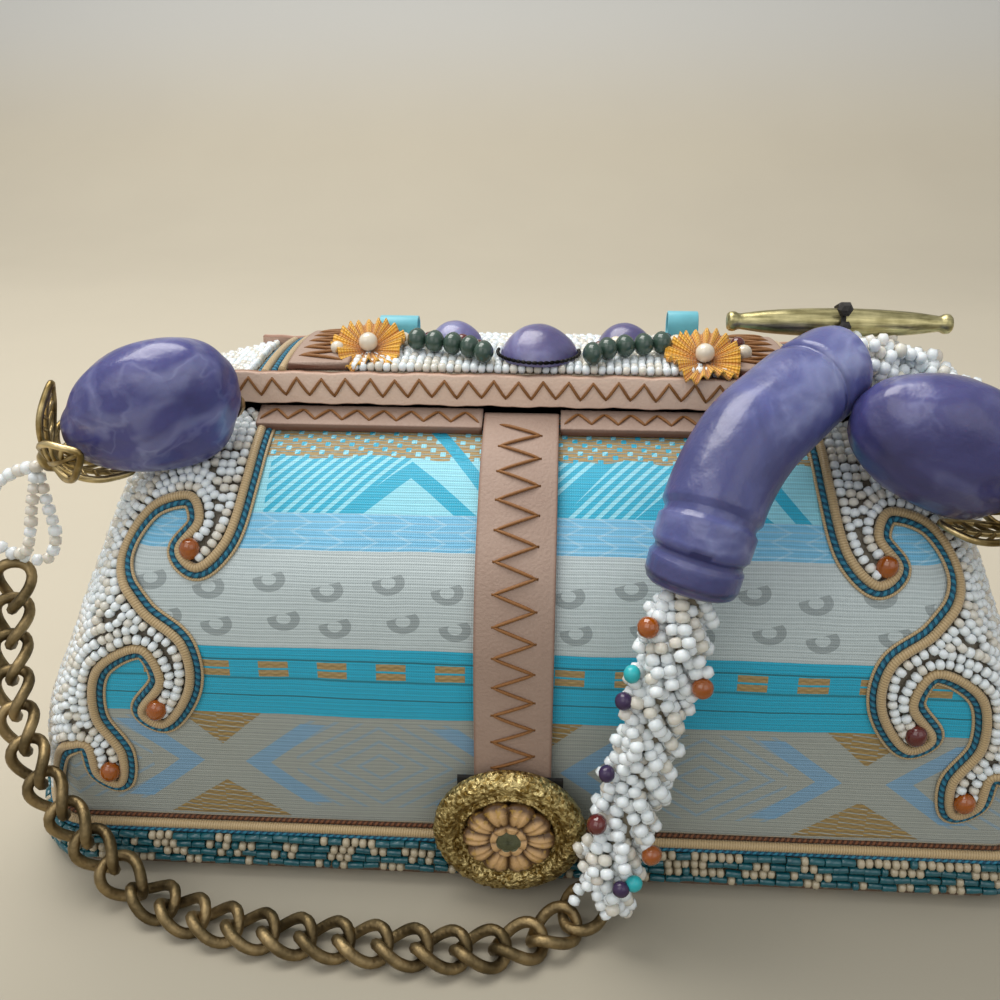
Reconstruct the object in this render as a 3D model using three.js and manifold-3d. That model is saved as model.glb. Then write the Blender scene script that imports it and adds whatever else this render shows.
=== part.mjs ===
// Embellished clutch bag: a dome-shaped cloth bag with beaded ends and scrolls, a leather-edged
// jewelled lid, a front strap with a round button, and a handle of resin nuggets, leaf caps,
// curb chain and a beaded rope threaded through a resin tube.
// Millimetres, +Z up. The front faces -Y, and the origin is the middle of the underside.
import * as THREE from 'three';
import { mergeVertices } from 'three/addons/utils/BufferGeometryUtils.js';
import Module from 'manifold-3d';

const wasm = await Module();
wasm.setup();

// Driving sizes
const gap = 0.3;
const bag = { length: 256, frontWidth: 214, depth: 110, rim: 103 };
const base = { thickness: 2.4 };
const wall = { thickness: 3, floor: 2.4 };
const beads = { thickness: 1.6, cordWidth: 2.2, cordHeight: 2.6 };
const band = { height: 12.1, clearance: 0.6, thickness: 2.4 };
const footCord = { height: 1.8, thickness: 1.7 };
const leather = { thickness: 2.2 };
const rimStrip = { length: 131, reach: 7 };
const endStrip = { width: 12, thickness: 3.2 };
const strap = { x: -3.5, width: 17.5, bottom: 22 };
const button = { x: -4, z: 18.4, diameter: 34, backing: 3.4, ring: 2.6, rosette: 21, rosetteHeight: 3 };
const backing = { width: 24, height: 14, thickness: 1 };
const lid = { frontWidth: 140, length: 170, depth: 29.4, wall: 2.4, lift: 0.7 };
const lidEdge = { front: 7.4, end: 2.4, crown: 8.6, crownEnd: 2.8 };
const lidStrip = { length: 146, height: 7.6, hingeDrop: 0.4 };
const lidBand = { inner: 44, width: 14.5, thickness: 1.8 };
const lidCord = { width: 7.6, thickness: 1.7 };
const lidBeads = { thickness: 1.5 };
const cabochon = { diameter: 17.8, height: 6.6, y: -7.2 };
const backCabochon = { diameter: 13, height: 4.4, x: 21, y: 4.6 };
const flower = { diameter: 17, height: 4.6, pearl: 4.2, petals: 5 };
const flowerPlaces = { left: { x: -40.7, y: -7 }, right: { x: 38.6, y: -11 } };
const ribbon = { width: 6, thickness: 0.7, loop: 4.6, x: 35, y: 6 };
const roundBead = { diameter: 4.2, count: 5, waist: 0.74 };
const greenBeadRow = [
  { x: 12.6, y: -14 }, { x: 15.5, y: -11.4 }, { x: 19.5, y: -9.4 }, { x: 24.5, y: -8 },
  { x: 29, y: -6.6 },
];
const nugget = { halfLength: 20, halfHeight: 14.2, halfThickness: 11.5 };
const starCap = { diameter: 6.8, height: 3.2 };
const leafCap = { hub: 6.4, hubDepth: 2.6, leaf: 12.6, leafWidth: 8.4, root: 2.2, sheet: 1 };
const strand = { diameter: 2.6 };
const link = { length: 14, width: 11.4, wire: 2.6, pitch: 8.6, twist: 0.9, square: 0.8 };
const rope = { diameter: 14.4, insideDiameter: 10.4 };
const tubeBead = { diameter: 21, bore: 12.4 };
const bar = { length: 49, diameter: 6.2, endDiameter: 3.6 };
const tie = { thickness: 1.2, knot: 3.6 };

// Levels of the bag's form: height from the foot to the rim, then depth, front width and whole
// length, all as shares of the sizes at the foot.
const levels = [
  { up: 0, depth: 1, front: 1, length: 1 },
  { up: 0.35, depth: 1, front: 0.98, length: 0.936 },
  { up: 0.512, depth: 0.993, front: 0.925, length: 0.872 },
  { up: 0.62, depth: 0.971, front: 0.872, length: 0.838 },
  { up: 0.747, depth: 0.885, front: 0.8, length: 0.802 },
  { up: 0.86, depth: 0.71, front: 0.743, length: 0.768 },
  { up: 0.94, depth: 0.53, front: 0.7, length: 0.727 },
  { up: 1, depth: 0.275, front: 0.65, length: 0.683 },
];
const frontSteps = 2;
const endSteps = 6;

// The scroll's centre line on the front, from the rim down to the foot: three hooks.
// across is a share of half the front width, up is a share of the rim's height.
const scroll = [
  { across: 0.6, up: 0.981 },
  { across: 0.606, up: 0.903 },
  { across: 0.631, up: 0.806 },
  { across: 0.687, up: 0.761 },
  { across: 0.726, up: 0.791 },
  { across: 0.692, up: 0.84 },
  { across: 0.715, up: 0.878 },
  { across: 0.794, up: 0.856 },
  { across: 0.846, up: 0.762 },
  { across: 0.799, up: 0.678 },
  { across: 0.718, up: 0.607 },
  { across: 0.712, up: 0.505 },
  { across: 0.78, up: 0.408 },
  { across: 0.821, up: 0.437 },
  { across: 0.772, up: 0.519 },
  { across: 0.804, up: 0.594 },
  { across: 0.902, up: 0.544 },
  { across: 0.925, up: 0.422 },
  { across: 0.881, up: 0.32 },
  { across: 0.899, up: 0.239 },
  { across: 0.942, up: 0.262 },
  { across: 0.958, up: 0.345 },
  { across: 1.009, up: 0.33 },
  { across: 1.056, up: 0.209 },
  { across: 1.075, up: 0.12 },
];
const scrollSamples = 25;

// The handle lies where it was laid down, so these places are chosen by hand, on a bag of these
// sizes. A bag of other sizes carries them along.
const laidOn = { length: 256, depth: 110, rim: 103 };
const onBag = ([x, y, z]) => [
  (x * bag.length) / laidOn.length, (y * bag.depth) / laidOn.depth, (z * bag.rim) / laidOn.rim];
// A nugget's middle on the bag; from there the hub of its leaf cap and the way to its star cap.
const nuggets = {
  left: {
    centre: [-86, -33.1, 110.7], along: [0.936, 0.185, 0.297], hub: [-23, -3.3, -12.2],
    hook: [21, 10.7, -2.7], taper: 0.1, tall: 1,
  },
  right: {
    centre: [83.1, -42.5, 108.6], along: [-0.93, -0.02, 0.36], hub: [21.2, -2.4, -18.4],
    hook: [-10.8, 15.2, 8.2], taper: -0.06, tall: 1.06,
  },
};
// A nugget's outline from the front: angle from its long axis, and reach as a share of an oval.
const nuggetOutlines = {
  left: [
    { angle: 0, reach: 1.02 }, { angle: 20, reach: 1.05 }, { angle: 80, reach: 0.97 },
    { angle: 112, reach: 1.02 }, { angle: 149, reach: 0.88 }, { angle: 184, reach: 1 },
    { angle: 264, reach: 1 }, { angle: 300, reach: 1.08 }, { angle: 346, reach: 1.01 },
    { angle: 360, reach: 1.02 },
  ],
  right: [
    { angle: 0, reach: 0.99 }, { angle: 22, reach: 0.92 }, { angle: 46, reach: 0.94 },
    { angle: 95, reach: 0.97 }, { angle: 136, reach: 0.95 }, { angle: 180, reach: 1.05 },
    { angle: 206, reach: 1.09 }, { angle: 226, reach: 0.98 }, { angle: 273, reach: 0.89 },
    { angle: 308, reach: 0.91 }, { angle: 330, reach: 0.97 }, { angle: 360, reach: 0.99 },
  ],
};
const chainRoutes = {
  left: [
    [-123.5, -34.5, 69.5], [-124.4, -37.5, 60], [-123.8, -43, 50.5], [-120.6, -51, 40.5],
    [-114.5, -58.5, 30.5], [-107, -63, 21], [-99, -66, 12.5], [-90, -69, 5.4],
    [-76, -74.2, 3.5], [-62, -77.5, 3.5], [-49.4, -79, 3.5], [-38, -79.7, 3.5], [-27, -80.4, 3.5],
    [-16, -80.6, 3.5], [-5, -79.4, 3.5], [4.7, -75.4, 3.7], [11.4, -71.2, 5.3], [16.8, -68.4, 8.8],
  ],
  right: [
    [118.5, 27.9, 63.6], [120.8, 29.6, 53], [124.8, 32, 40], [130, 35.5, 24], [135.6, 38, 11.5],
    [141, 37, 5.6], [144.5, 29, 4.2], [145.5, 18, 3.8], [144.5, 6, 4], [141.5, -5, 5.4],
    [138, -14, 10.6], [135.6, -21, 20], [134, -27, 33], [132.5, -32, 46], [129.9, -36.1, 58.7],
  ],
};
const ropeRoute = [
  [17.5, -69.4, 12.5], [19.4, -69, 21.6], [22.4, -67.4, 32.5], [24.9, -66.6, 46.6],
  [26.4, -66.2, 58.7], [29, -65, 70.4], [31.3, -62.4, 82.5], [34.6, -59, 95.3], [38, -53, 103.4],
  [43.3, -46.6, 110.1], [51.2, -39.6, 115], [58, -33.2, 118.2], [65.6, -26.8, 120.4],
  [74, -22, 119], [82, -19, 115.6], [89, -17.4, 111.6], [96, -17, 106.2], [102, -12, 99.2],
  [109.5, -3.5, 92.8], [114, 6.5, 85], [117, 16, 77.5], [118.4, 23, 70.5], [118.6, 26, 67],
];
const tubeSpan = { from: [31.6, -62, 84.5], to: [65, -27.4, 120.3] };
const loopRoutes = {
  left: [
    [[-117, -35.2, 95.3], [-123.5, -34.4, 91.4], [-127.6, -34.2, 84.5],
      [-127.8, -34.2, 77], [-123.3, -34.4, 73.6]],
    [[-114.5, -37, 87.9], [-116.4, -37, 80.5], [-119, -36.2, 75],
      [-123.3, -34.4, 73.6]],
    [[-111.8, -35.4, 87], [-112.2, -34.2, 77.5], [-116, -33.8, 71.8],
      [-123.3, -34.4, 73.6]],
  ],
  right: [
    [[113.5, -41.6, 89], [120.5, -40, 85.5], [128, -38.6, 78], [131.6, -37.4, 69],
      [129.6, -36.4, 62.3]],
    [[111.5, -43, 81], [117, -42, 74], [123.4, -39.6, 66.5], [129.6, -36.4, 62.3]],
    [[108.6, -41.8, 79], [113, -41, 70], [121.4, -38.4, 62.5], [129.6, -36.4, 62.3]],
  ],
};
const barPlace = [66.7, -15.8, 127.1];

// The tube bead from its lower to its upper mouth: place along it, and diameter as a share of the
// outer diameter, with two grooves near the lower mouth and one near the upper.
const tubeOutside = [
  [0, 0.84], [0.03, 0.91], [0.09, 0.92], [0.11, 0.86], [0.14, 0.95], [0.2, 0.96], [0.22, 0.89],
  [0.26, 0.98], [0.5, 1], [0.8, 0.97], [0.83, 0.9], [0.86, 0.96], [1, 0.84],
];
// The same for its bore, as a share of the bore, flared at both mouths.
const tubeInside = [[0, 1.4], [0.1, 1], [0.3, 1], [0.5, 1], [0.7, 1], [0.9, 1], [1, 1.4]];

// Finishes
const finish = (color, roughness, metalness = 0) =>
  new THREE.MeshStandardMaterial({ color, roughness, metalness });
const finishes = {
  board: finish('#c9b79c', 0.9),
  cloth: finish('#9ccfda', 0.75),
  whiteBeads: finish('#e6e4e0', 0.35),
  bandBeads: finish('#4d9a9a', 0.4),
  goldCord: finish('#b89b6a', 0.7),
  leather: finish('#cba388', 0.7),
  brownLeather: finish('#9a6a4c', 0.75),
  blackCloth: finish('#1d1c20', 0.9),
  gold: finish('#a8873f', 0.4, 1),
  tan: finish('#c4a070', 0.6),
  resin: finish('#5a4a80', 0.3),
  chainBrass: finish('#8f6f45', 0.45, 1),
  oliveBrass: finish('#8e8050', 0.35, 1),
  blackCord: finish('#3a3530', 0.8),
  petals: finish('#e8a83a', 0.7),
  ribbonCloth: finish('#6cc0d0', 0.6),
  greenStone: finish('#2f4540', 0.3),
};

// Solids from rings, grids and three.js geometries

function geometryFrom(positions, indices) {
  const geometry = new THREE.BufferGeometry();
  geometry.setAttribute('position', new THREE.Float32BufferAttribute(positions, 3));
  geometry.setIndex(indices);
  return geometry;
}

// A manifold-3d solid of a closed geometry, turned so that its faces point out.
function solidOf(source) {
  const bare = source.clone();
  bare.deleteAttribute('normal');
  bare.deleteAttribute('uv');
  const geometry = mergeVertices(bare, 1e-4);
  const { array } = geometry.attributes.position;
  const index = Array.from(geometry.index.array);
  let volume = 0;
  const [a, b, c] = [new THREE.Vector3(), new THREE.Vector3(), new THREE.Vector3()];
  for (let i = 0; i < index.length; i += 3) {
    a.fromArray(array, 3 * index[i]);
    b.fromArray(array, 3 * index[i + 1]);
    c.fromArray(array, 3 * index[i + 2]);
    volume += a.dot(b.cross(c));
  }
  if (volume < 0) index.reverse();
  return new wasm.Manifold(new wasm.Mesh({
    numProp: 3,
    vertProperties: Float32Array.from(array),
    triVerts: Uint32Array.from(index),
  }));
}

function geometryOf(solid) {
  const { numProp, vertProperties, triVerts } = solid.getMesh();
  const positions = [];
  for (let i = 0; i < vertProperties.length; i += numProp) {
    positions.push(vertProperties[i], vertProperties[i + 1], vertProperties[i + 2]);
  }
  return geometryFrom(positions, Array.from(triVerts));
}

// A closed solid through rings of points. Its two ends close on the rings' middles, or the
// last ring joins the first where the rings run in a circle.
function loft(rings, circle = false) {
  const count = rings[0].length;
  const positions = rings.flat().flatMap((p) => [p.x, p.y, p.z]);
  const indices = [];
  const last = circle ? rings.length : rings.length - 1;
  for (let i = 0; i < last; i++) {
    const here = i * count;
    const next = ((i + 1) % rings.length) * count;
    for (let j = 0; j < count; j++) {
      const k = (j + 1) % count;
      indices.push(here + j, here + k, next + k, here + j, next + k, next + j);
    }
  }
  if (!circle) {
    for (const [ring, start, turn] of [[rings[0], 0, 1], [rings.at(-1), (rings.length - 1) * count, 0]]) {
      const middle = ring.reduce((sum, p) => sum.add(p), new THREE.Vector3()).divideScalar(count);
      const hub = positions.length / 3;
      positions.push(middle.x, middle.y, middle.z);
      for (let j = 0; j < count; j++) {
        const k = (j + 1) % count;
        indices.push(hub, start + (turn ? k : j), start + (turn ? j : k));
      }
    }
  }
  return solidOf(geometryFrom(positions, indices));
}

// A closed solid between an outer and an inner grid of points; wrap joins its last column to
// its first.
function slab(outer, inner, wrap) {
  const rows = outer.length;
  const columns = outer[0].length;
  const positions = [...outer.flat(), ...inner.flat()].flatMap((p) => [p.x, p.y, p.z]);
  const at = (side, row, column) => side * rows * columns + row * columns + (column % columns);
  const indices = [];
  const quad = (a, b, c, d) => indices.push(a, b, c, a, c, d);
  const spans = wrap ? columns : columns - 1;
  for (let i = 0; i < rows - 1; i++) {
    for (let j = 0; j < spans; j++) {
      quad(at(0, i, j), at(0, i, j + 1), at(0, i + 1, j + 1), at(0, i + 1, j));
      indices.push(at(1, i, j), at(1, i + 1, j + 1), at(1, i, j + 1));
      indices.push(at(1, i, j), at(1, i + 1, j), at(1, i + 1, j + 1));
    }
  }
  for (let j = 0; j < spans; j++) {
    quad(at(0, 0, j), at(1, 0, j), at(1, 0, j + 1), at(0, 0, j + 1));
    quad(at(0, rows - 1, j), at(0, rows - 1, j + 1), at(1, rows - 1, j + 1), at(1, rows - 1, j));
  }
  if (!wrap) {
    for (let i = 0; i < rows - 1; i++) {
      quad(at(0, i, 0), at(0, i + 1, 0), at(1, i + 1, 0), at(1, i, 0));
      const last = columns - 1;
      quad(at(0, i, last), at(1, i, last), at(1, i + 1, last), at(0, i + 1, last));
    }
  }
  return solidOf(geometryFrom(positions, indices));
}

const vector = (list) => new THREE.Vector3(...list);

function box(low, high) {
  const size = vector(high).sub(vector(low));
  const geometry = new THREE.BoxGeometry(size.x, size.y, size.z);
  geometry.translate(...vector(low).add(vector(high)).divideScalar(2).toArray());
  return solidOf(geometry);
}

// An outline drawn in the front view, x and z, cut through from y = 0 towards one side.
function frontPrism(outline, side) {
  const reach = bag.depth;
  const geometry = new THREE.ExtrudeGeometry(
    new THREE.Shape(outline), { depth: reach, bevelEnabled: false });
  geometry.rotateX(Math.PI / 2);
  if (side > 0) geometry.translate(0, reach, 0);
  return solidOf(geometry);
}

function sphere(centre, radius, sides = 8) {
  const geometry = new THREE.SphereGeometry(radius, sides, Math.ceil(sides * 0.6));
  geometry.translate(...centre);
  return solidOf(geometry);
}

// Rings of a round or lobed section along a curve.
function sweepRings(curve, steps, sides, radiusAt) {
  const frames = curve.computeFrenetFrames(steps, false);
  return Array.from({ length: steps + 1 }, (_, i) => {
    const centre = curve.getPointAt(i / steps);
    return Array.from({ length: sides }, (_, j) => {
      const angle = (2 * Math.PI * j) / sides;
      const radius = radiusAt(i / steps, angle);
      return centre.clone()
        .addScaledVector(frames.normals[i], radius * Math.cos(angle))
        .addScaledVector(frames.binormals[i], radius * Math.sin(angle));
    });
  });
}

const curveThrough = (points) => new THREE.CatmullRomCurve3(points.map(vector), false, 'centripetal');
const sweep = (curve, steps, sides, radiusAt) => loft(sweepRings(curve, steps, sides, radiusAt));

function dome(radius, height, sides, shares = [[1, 0], [1, 0.16], [0.9, 0.52], [0.66, 0.82], [0.3, 0.98]]) {
  const rings = shares.map(([out, up]) => Array.from({ length: sides }, (_, j) => {
    const angle = (2 * Math.PI * j) / sides;
    return new THREE.Vector3(out * radius * Math.cos(angle), out * radius * Math.sin(angle), up * height);
  }));
  return loft(rings);
}

// The bag's outline at one level: front from left to right, right end, back, left end.
function outline(halfWidth, halfDepth, halfLength) {
  const points = [];
  for (const side of [1, -1]) {
    for (let i = 0; i <= frontSteps; i++) {
      points.push(new THREE.Vector2(side * halfWidth * (-1 + (2 * i) / frontSteps), -side * halfDepth));
    }
    for (let i = 1; i < endSteps; i++) {
      const angle = -Math.PI / 2 + (Math.PI * i) / endSteps;
      const x = halfWidth + (halfLength - halfWidth) * Math.cos(angle);
      points.push(new THREE.Vector2(side * x, side * halfDepth * Math.sin(angle)));
    }
  }
  return points;
}

const foot = base.thickness + gap;
const formRows = levels.map((row) => outline(
  row.front * bag.frontWidth / 2, row.depth * bag.depth / 2, row.length * bag.length / 2)
  .map((p) => new THREE.Vector3(p.x, p.y, THREE.MathUtils.lerp(foot, bag.rim, row.up))));

// The bag's form moved out by an offset, square to the cloth; its lowest row stays level.
function formGrid(offset) {
  const columns = formRows[0].length;
  return formRows.map((row, i) => row.map((point, j) => {
    const along = row[(j + 1) % columns].clone().sub(row[(j + columns - 1) % columns]);
    const higher = formRows[Math.min(i + 1, formRows.length - 1)][j];
    const lower = formRows[Math.max(i - 1, 0)][j];
    const up = higher.clone().sub(lower);
    const out = along.cross(up);
    if (i === 0) out.z = 0;
    return point.clone().addScaledVector(out.normalize(), offset);
  }));
}

const layer = (from, to) => slab(formGrid(to), formGrid(from), true);

const far = 2 * bag.length;
const half = (side) => (side < 0
  ? box([-far, -far, -far], [far, -gap / 2, far])
  : box([-far, gap / 2, -far], [far, far, far]));
const above = (z) => box([-far, -far, z], [far, far, far]);

// Names and finishes of the finished pieces
const clutch = new THREE.Group();

function add(name, solid, material) {
  const mesh = new THREE.Mesh(solid.isBufferGeometry ? solid : geometryOf(solid), material);
  mesh.name = name;
  clutch.add(mesh);
}

// A flat plate of the bag's foot outline moved out by an offset.
function footPlate(offset, bottom, top) {
  const ring = (z) => outline(bag.frontWidth / 2, bag.depth / 2 + offset, bag.length / 2 + offset)
    .map((p) => new THREE.Vector3(p.x, p.y, z));
  return loft([ring(bottom), ring(top)]);
}

function makeBody() {
  add('base_board', footPlate(0, 0, base.thickness), finishes.brownLeather);

  const floor = footPlate(-wall.thickness / 2, foot, foot + wall.floor);
  add('cloth_body', layer(-wall.thickness, 0).add(floor), finishes.cloth);

  const bandRing = footPlate(gap + band.thickness, band.clearance, band.height)
    .subtract(footPlate(gap, -1, band.height + 1));
  add('beaded_band', bandRing, finishes.bandBeads);

  const cordBottom = band.height + gap;
  const cordRing = footPlate(gap + footCord.thickness, cordBottom, cordBottom + footCord.height)
    .subtract(layer(-10, gap).add(footPlate(-1, 0, far)));
  add('foot_cord', cordRing, finishes.goldCord);
}

// Points of the scroll on one side, left -1 or right 1, in the front view.
function scrollPoints(side) {
  const route = scroll.map((row) => new THREE.Vector3(
    side * row.across * bag.frontWidth / 2, row.up * bag.rim, 0));
  const curve = new THREE.CatmullRomCurve3(route, false, 'centripetal');
  return curve.getSpacedPoints(scrollSamples);
}

function shifted(points, distance) {
  return points.map((point, i) => {
    const before = points[Math.max(i - 1, 0)];
    const after = points[Math.min(i + 1, points.length - 1)];
    const along = after.clone().sub(before).normalize();
    return new THREE.Vector2(point.x + distance * along.y, point.y - distance * along.x);
  });
}

function makeBeading() {
  const field = layer(gap, gap + beads.thickness);
  const raised = layer(gap, gap + beads.cordHeight);
  const stripEnd = rimStrip.length / 2 + gap;
  const stripLow = bag.depth * levels.at(-1).depth / 2 + rimStrip.reach + gap;
  const underStrip = box([-stripEnd, -stripLow, 0], [stripEnd, stripLow, far]);
  const endGap = endStrip.width / 2 + gap;
  const underEnd = box([-far, -endGap, -far], [far, endGap, far]);
  const bottom = above(band.height + 2 * gap + footCord.height);
  for (const [front, y] of [['front', -1], ['back', 1]]) {
    for (const [name, x] of [['left', -1], ['right', 1]]) {
      const points = scrollPoints(x);
      const ribbonOutline = [...shifted(points, beads.cordWidth / 2),
        ...shifted(points, -beads.cordWidth / 2).reverse()];
      const corner = (up) => new THREE.Vector2(x * bag.length, up);
      const fieldOutline = [...shifted(points, -x * (beads.cordWidth / 2 + gap)), corner(0), corner(far),
        new THREE.Vector2(points[0].x, far)];
      const keep = half(y).intersect(bottom).subtract(underStrip).subtract(underEnd);
      add(`scroll_cord_${front}_${name}`,
        raised.intersect(frontPrism(ribbonOutline, y)).intersect(keep), finishes.goldCord);
      add(`beading_${front}_${name}`,
        field.intersect(frontPrism(fieldOutline, y)).intersect(keep), finishes.whiteBeads);
    }
  }
}

function makeLeather() {
  const layerRim = layer(gap, gap + leather.thickness);
  const stripEnd = rimStrip.length / 2;
  const stripLow = bag.depth * levels.at(-1).depth / 2 + rimStrip.reach;
  const strapLeft = strap.x - strap.width / 2;
  const strapRight = strap.x + strap.width / 2;
  const bandTop = (bag.rim + band.height) / 2;
  const strip = (x0, x1, y0, y1) => layerRim.intersect(box([x0, y0, bandTop], [x1, y1, far]));
  add('rim_strip_front_left', strip(-stripEnd, strapLeft - gap, -stripLow, 0), finishes.leather);
  add('rim_strip_front_right', strip(strapRight + gap, stripEnd, -stripLow, 0), finishes.leather);
  add('rim_strip_back', strip(-stripEnd, stripEnd, 0, stripLow), finishes.leather);
  add('front_strap', layerRim.intersect(box([strapLeft, -far, strap.bottom], [strapRight, 0, far])),
    finishes.leather);

  const endLayer = layer(gap, gap + endStrip.thickness);
  const stripBottom = band.height + 2 * gap + footCord.height;
  const wide = endStrip.width / 2;
  add('end_strip_left',
    endLayer.intersect(box([-far, -wide, stripBottom], [0, wide, far])), finishes.brownLeather);
  add('end_strip_right',
    endLayer.intersect(box([0, -wide, stripBottom], [far, wide, far])), finishes.brownLeather);
}

function makeButton() {
  const facing = new THREE.Matrix4().makeRotationX(Math.PI / 2);
  const front = -bag.depth / 2 - gap - leather.thickness - gap;
  const seat = front - backing.thickness;
  const turned = (solid, y) => {
    const geometry = geometryOf(solid);
    geometry.applyMatrix4(facing);
    geometry.translate(button.x, y, button.z);
    return geometry;
  };
  const patch = box([button.x - backing.width / 2, seat, button.z - backing.height / 2],
    [button.x + backing.width / 2, front, button.z + backing.height]);
  add('strap_backing', patch, finishes.blackCloth);
  const radius = button.diameter / 2;
  const back = dome(radius, button.backing + button.ring, 18,
    [[0.86, 0], [1, 0.3], [1, 0.6], [0.88, 1], [0.66, 1], [0.62, 0.72]]);
  add('button_back', turned(back, seat - gap), finishes.gold);
  const petals = 8;
  const rings = [[0.93, 0], [1, 0.45], [0.8, 0.9], [0.5, 1], [0.26, 0.72], [0.18, 0.9]].map(([out, up]) =>
    Array.from({ length: 2 * petals }, (_, j) => {
      const angle = (Math.PI * j) / petals;
      const reach = (button.rosette / 2) * out * (j % 2 && out > 0.4 ? 0.86 : 1);
      return new THREE.Vector3(reach * Math.cos(angle), reach * Math.sin(angle), up * button.rosetteHeight);
    }));
  const face = (button.backing + button.ring) * 0.72;
  add('button_rosette', turned(loft(rings), seat - 2 * gap - face), finishes.tan);
}

// The lid's top: its height above the lid's lower edge at a place across it, and the stations
// of its grid. It falls away towards the two ends.
const lidBase = bag.rim + gap + leather.thickness + lid.lift;

function lidHalfDepth(x) {
  const corner = lid.frontWidth / 2;
  const share = Math.max(Math.abs(x) - corner, 0) / (lid.length / 2 - corner);
  return (lid.depth / 2) * Math.sqrt(Math.max(1 - (0.96 * share) ** 2, 0.01));
}

function lidHeight(x, across) {
  const fall = THREE.MathUtils.smoothstep(Math.abs(x), lid.frontWidth * 0.36, lid.length / 2);
  const edge = THREE.MathUtils.lerp(lidEdge.front, lidEdge.end, fall);
  const crown = THREE.MathUtils.lerp(lidEdge.crown, lidEdge.crownEnd, fall);
  return edge + (crown - edge) * (1 - across * across);
}

const lidStations = [0.42, 0.74, 0.92, 1];
const lidAcross = [-1, -0.5, 0, 0.5, 1];

function lidGrid(offset, inset = 0) {
  const half = lidStations.map((share) => (share * lid.length) / 2);
  const stations = [...half.map((x) => -x).reverse(), 0, ...half];
  const shrink = 1 - inset / (lid.length / 2);
  return stations.map((x) => lidAcross.map((share) => new THREE.Vector3(
    x * shrink, share * (lidHalfDepth(x) - inset), lidBase + lidHeight(x, share) + offset)));
}

function lidBlock(offset, inset, bottom) {
  const top = lidGrid(offset, inset);
  return slab(top, top.map((row) => row.map((p) => new THREE.Vector3(p.x, p.y, bottom))), false);
}

const lidLayer = (from, to) => slab(lidGrid(to), lidGrid(from), false);

function makeLid() {
  const shell = lidBlock(0, 0, lidBase).subtract(lidBlock(-lid.wall, lid.wall, lidBase - 1));
  add('lid_shell', shell, finishes.board);

  const outer = lid.depth / 2 + gap;
  const long = lidStrip.length / 2;
  for (const [name, side] of [['front', -1], ['back', 1]]) {
    const low = side > 0 ? lidBase - lidStrip.hingeDrop : lidBase;
    const profile = new THREE.Shape([[0, low], [leather.thickness, low],
      [leather.thickness, lidBase + lidStrip.height * 0.86],
      [leather.thickness * 0.6, lidBase + lidStrip.height], [0, lidBase + lidStrip.height]]
      .map(([out, up]) => new THREE.Vector2(side * (outer + out), up)));
    const geometry = new THREE.ExtrudeGeometry(profile, { depth: 2 * long, bevelEnabled: false });
    geometry.applyMatrix4(new THREE.Matrix4().makeBasis(
      new THREE.Vector3(0, 1, 0), new THREE.Vector3(0, 0, 1), new THREE.Vector3(1, 0, 0)));
    geometry.translate(-long, 0, 0);
    add(`lid_strip_${name}`, solidOf(geometry), finishes.leather);
  }

  const bandInner = lidBand.inner;
  const bandOuter = bandInner + lidBand.width;
  const cordOuter = bandOuter + gap + lidCord.width;
  const column = (x0, x1) => box([x0, -far, 0], [x1, far, far]);
  const beading = lidLayer(gap, gap + lidBeads.thickness);
  const strips = lidLayer(gap, gap + lidBand.thickness);
  const cords = lidLayer(gap, gap + lidCord.thickness);
  add('lid_beading_middle',
    beading.intersect(column(-bandInner + gap, bandInner - gap)), finishes.whiteBeads);
  for (const [name, side] of [['left', -1], ['right', 1]]) {
    const span = (a, b) => (side < 0 ? column(-b, -a) : column(a, b));
    add(`lid_band_${name}`, strips.intersect(span(bandInner, bandOuter)), finishes.leather);
    add(`lid_cord_${name}`, cords.intersect(span(bandOuter + gap, cordOuter)), finishes.goldCord);
    add(`lid_beading_${name}`, beading.intersect(span(cordOuter + gap, far)), finishes.whiteBeads);
  }
}

const lidTop = (x, y) => lidBase + lidHeight(x, y / lidHalfDepth(x)) + gap + lidBeads.thickness + gap;

function placed(solid, place, tilt = [0, 0, 0]) {
  const geometry = geometryOf(solid);
  geometry.applyMatrix4(new THREE.Matrix4().makeRotationFromEuler(new THREE.Euler(...tilt)));
  geometry.translate(...place);
  return geometry;
}

function makeFlower() {
  const { petals } = flower;
  const sides = 2 * petals;
  const rings = [[0.3, 0], [1, 0.34], [0.98, 0.5], [0.3, 0.52]].map(([out, up]) =>
    Array.from({ length: sides }, (_, j) => {
      const angle = (2 * Math.PI * j) / sides;
      const frill = out > 0.3 ? 1 - 0.16 * (1 + Math.cos(petals * angle)) / 2 : 1;
      const wave = out > 0.9 ? 0.12 * Math.cos(petals * angle) : 0;
      const reach = out * frill * flower.diameter / 2;
      return new THREE.Vector3(
        reach * Math.cos(angle), reach * Math.sin(angle), (up + wave) * flower.height);
    }));
  return loft(rings).add(sphere([0, 0, flower.height * 0.5 + flower.pearl * 0.3], flower.pearl / 2, 6));
}

function makeRibbon() {
  const loop = [[-0.9, 0.1], [-0.95, 0.85], [-0.4, 1.2], [0.1, 0.75], [-0.1, 0.1], [0.6, 0], [1.2, 0.35]]
    .map(([x, z]) => [x * ribbon.loop, 0, z * ribbon.loop]);
  const curve = curveThrough(loop);
  const steps = 9;
  const rings = Array.from({ length: steps + 1 }, (_, i) => {
    const centre = curve.getPointAt(i / steps);
    const along = curve.getTangentAt(i / steps);
    const out = new THREE.Vector3(-along.z, 0, along.x).multiplyScalar(ribbon.thickness / 2);
    const wide = ribbon.width / 2;
    return [[1, 1], [1, -1], [-1, -1], [-1, 1]].map(([a, b]) =>
      centre.clone().addScaledVector(out, a).add(new THREE.Vector3(0, b * wide, 0)));
  });
  return loft(rings);
}

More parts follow.
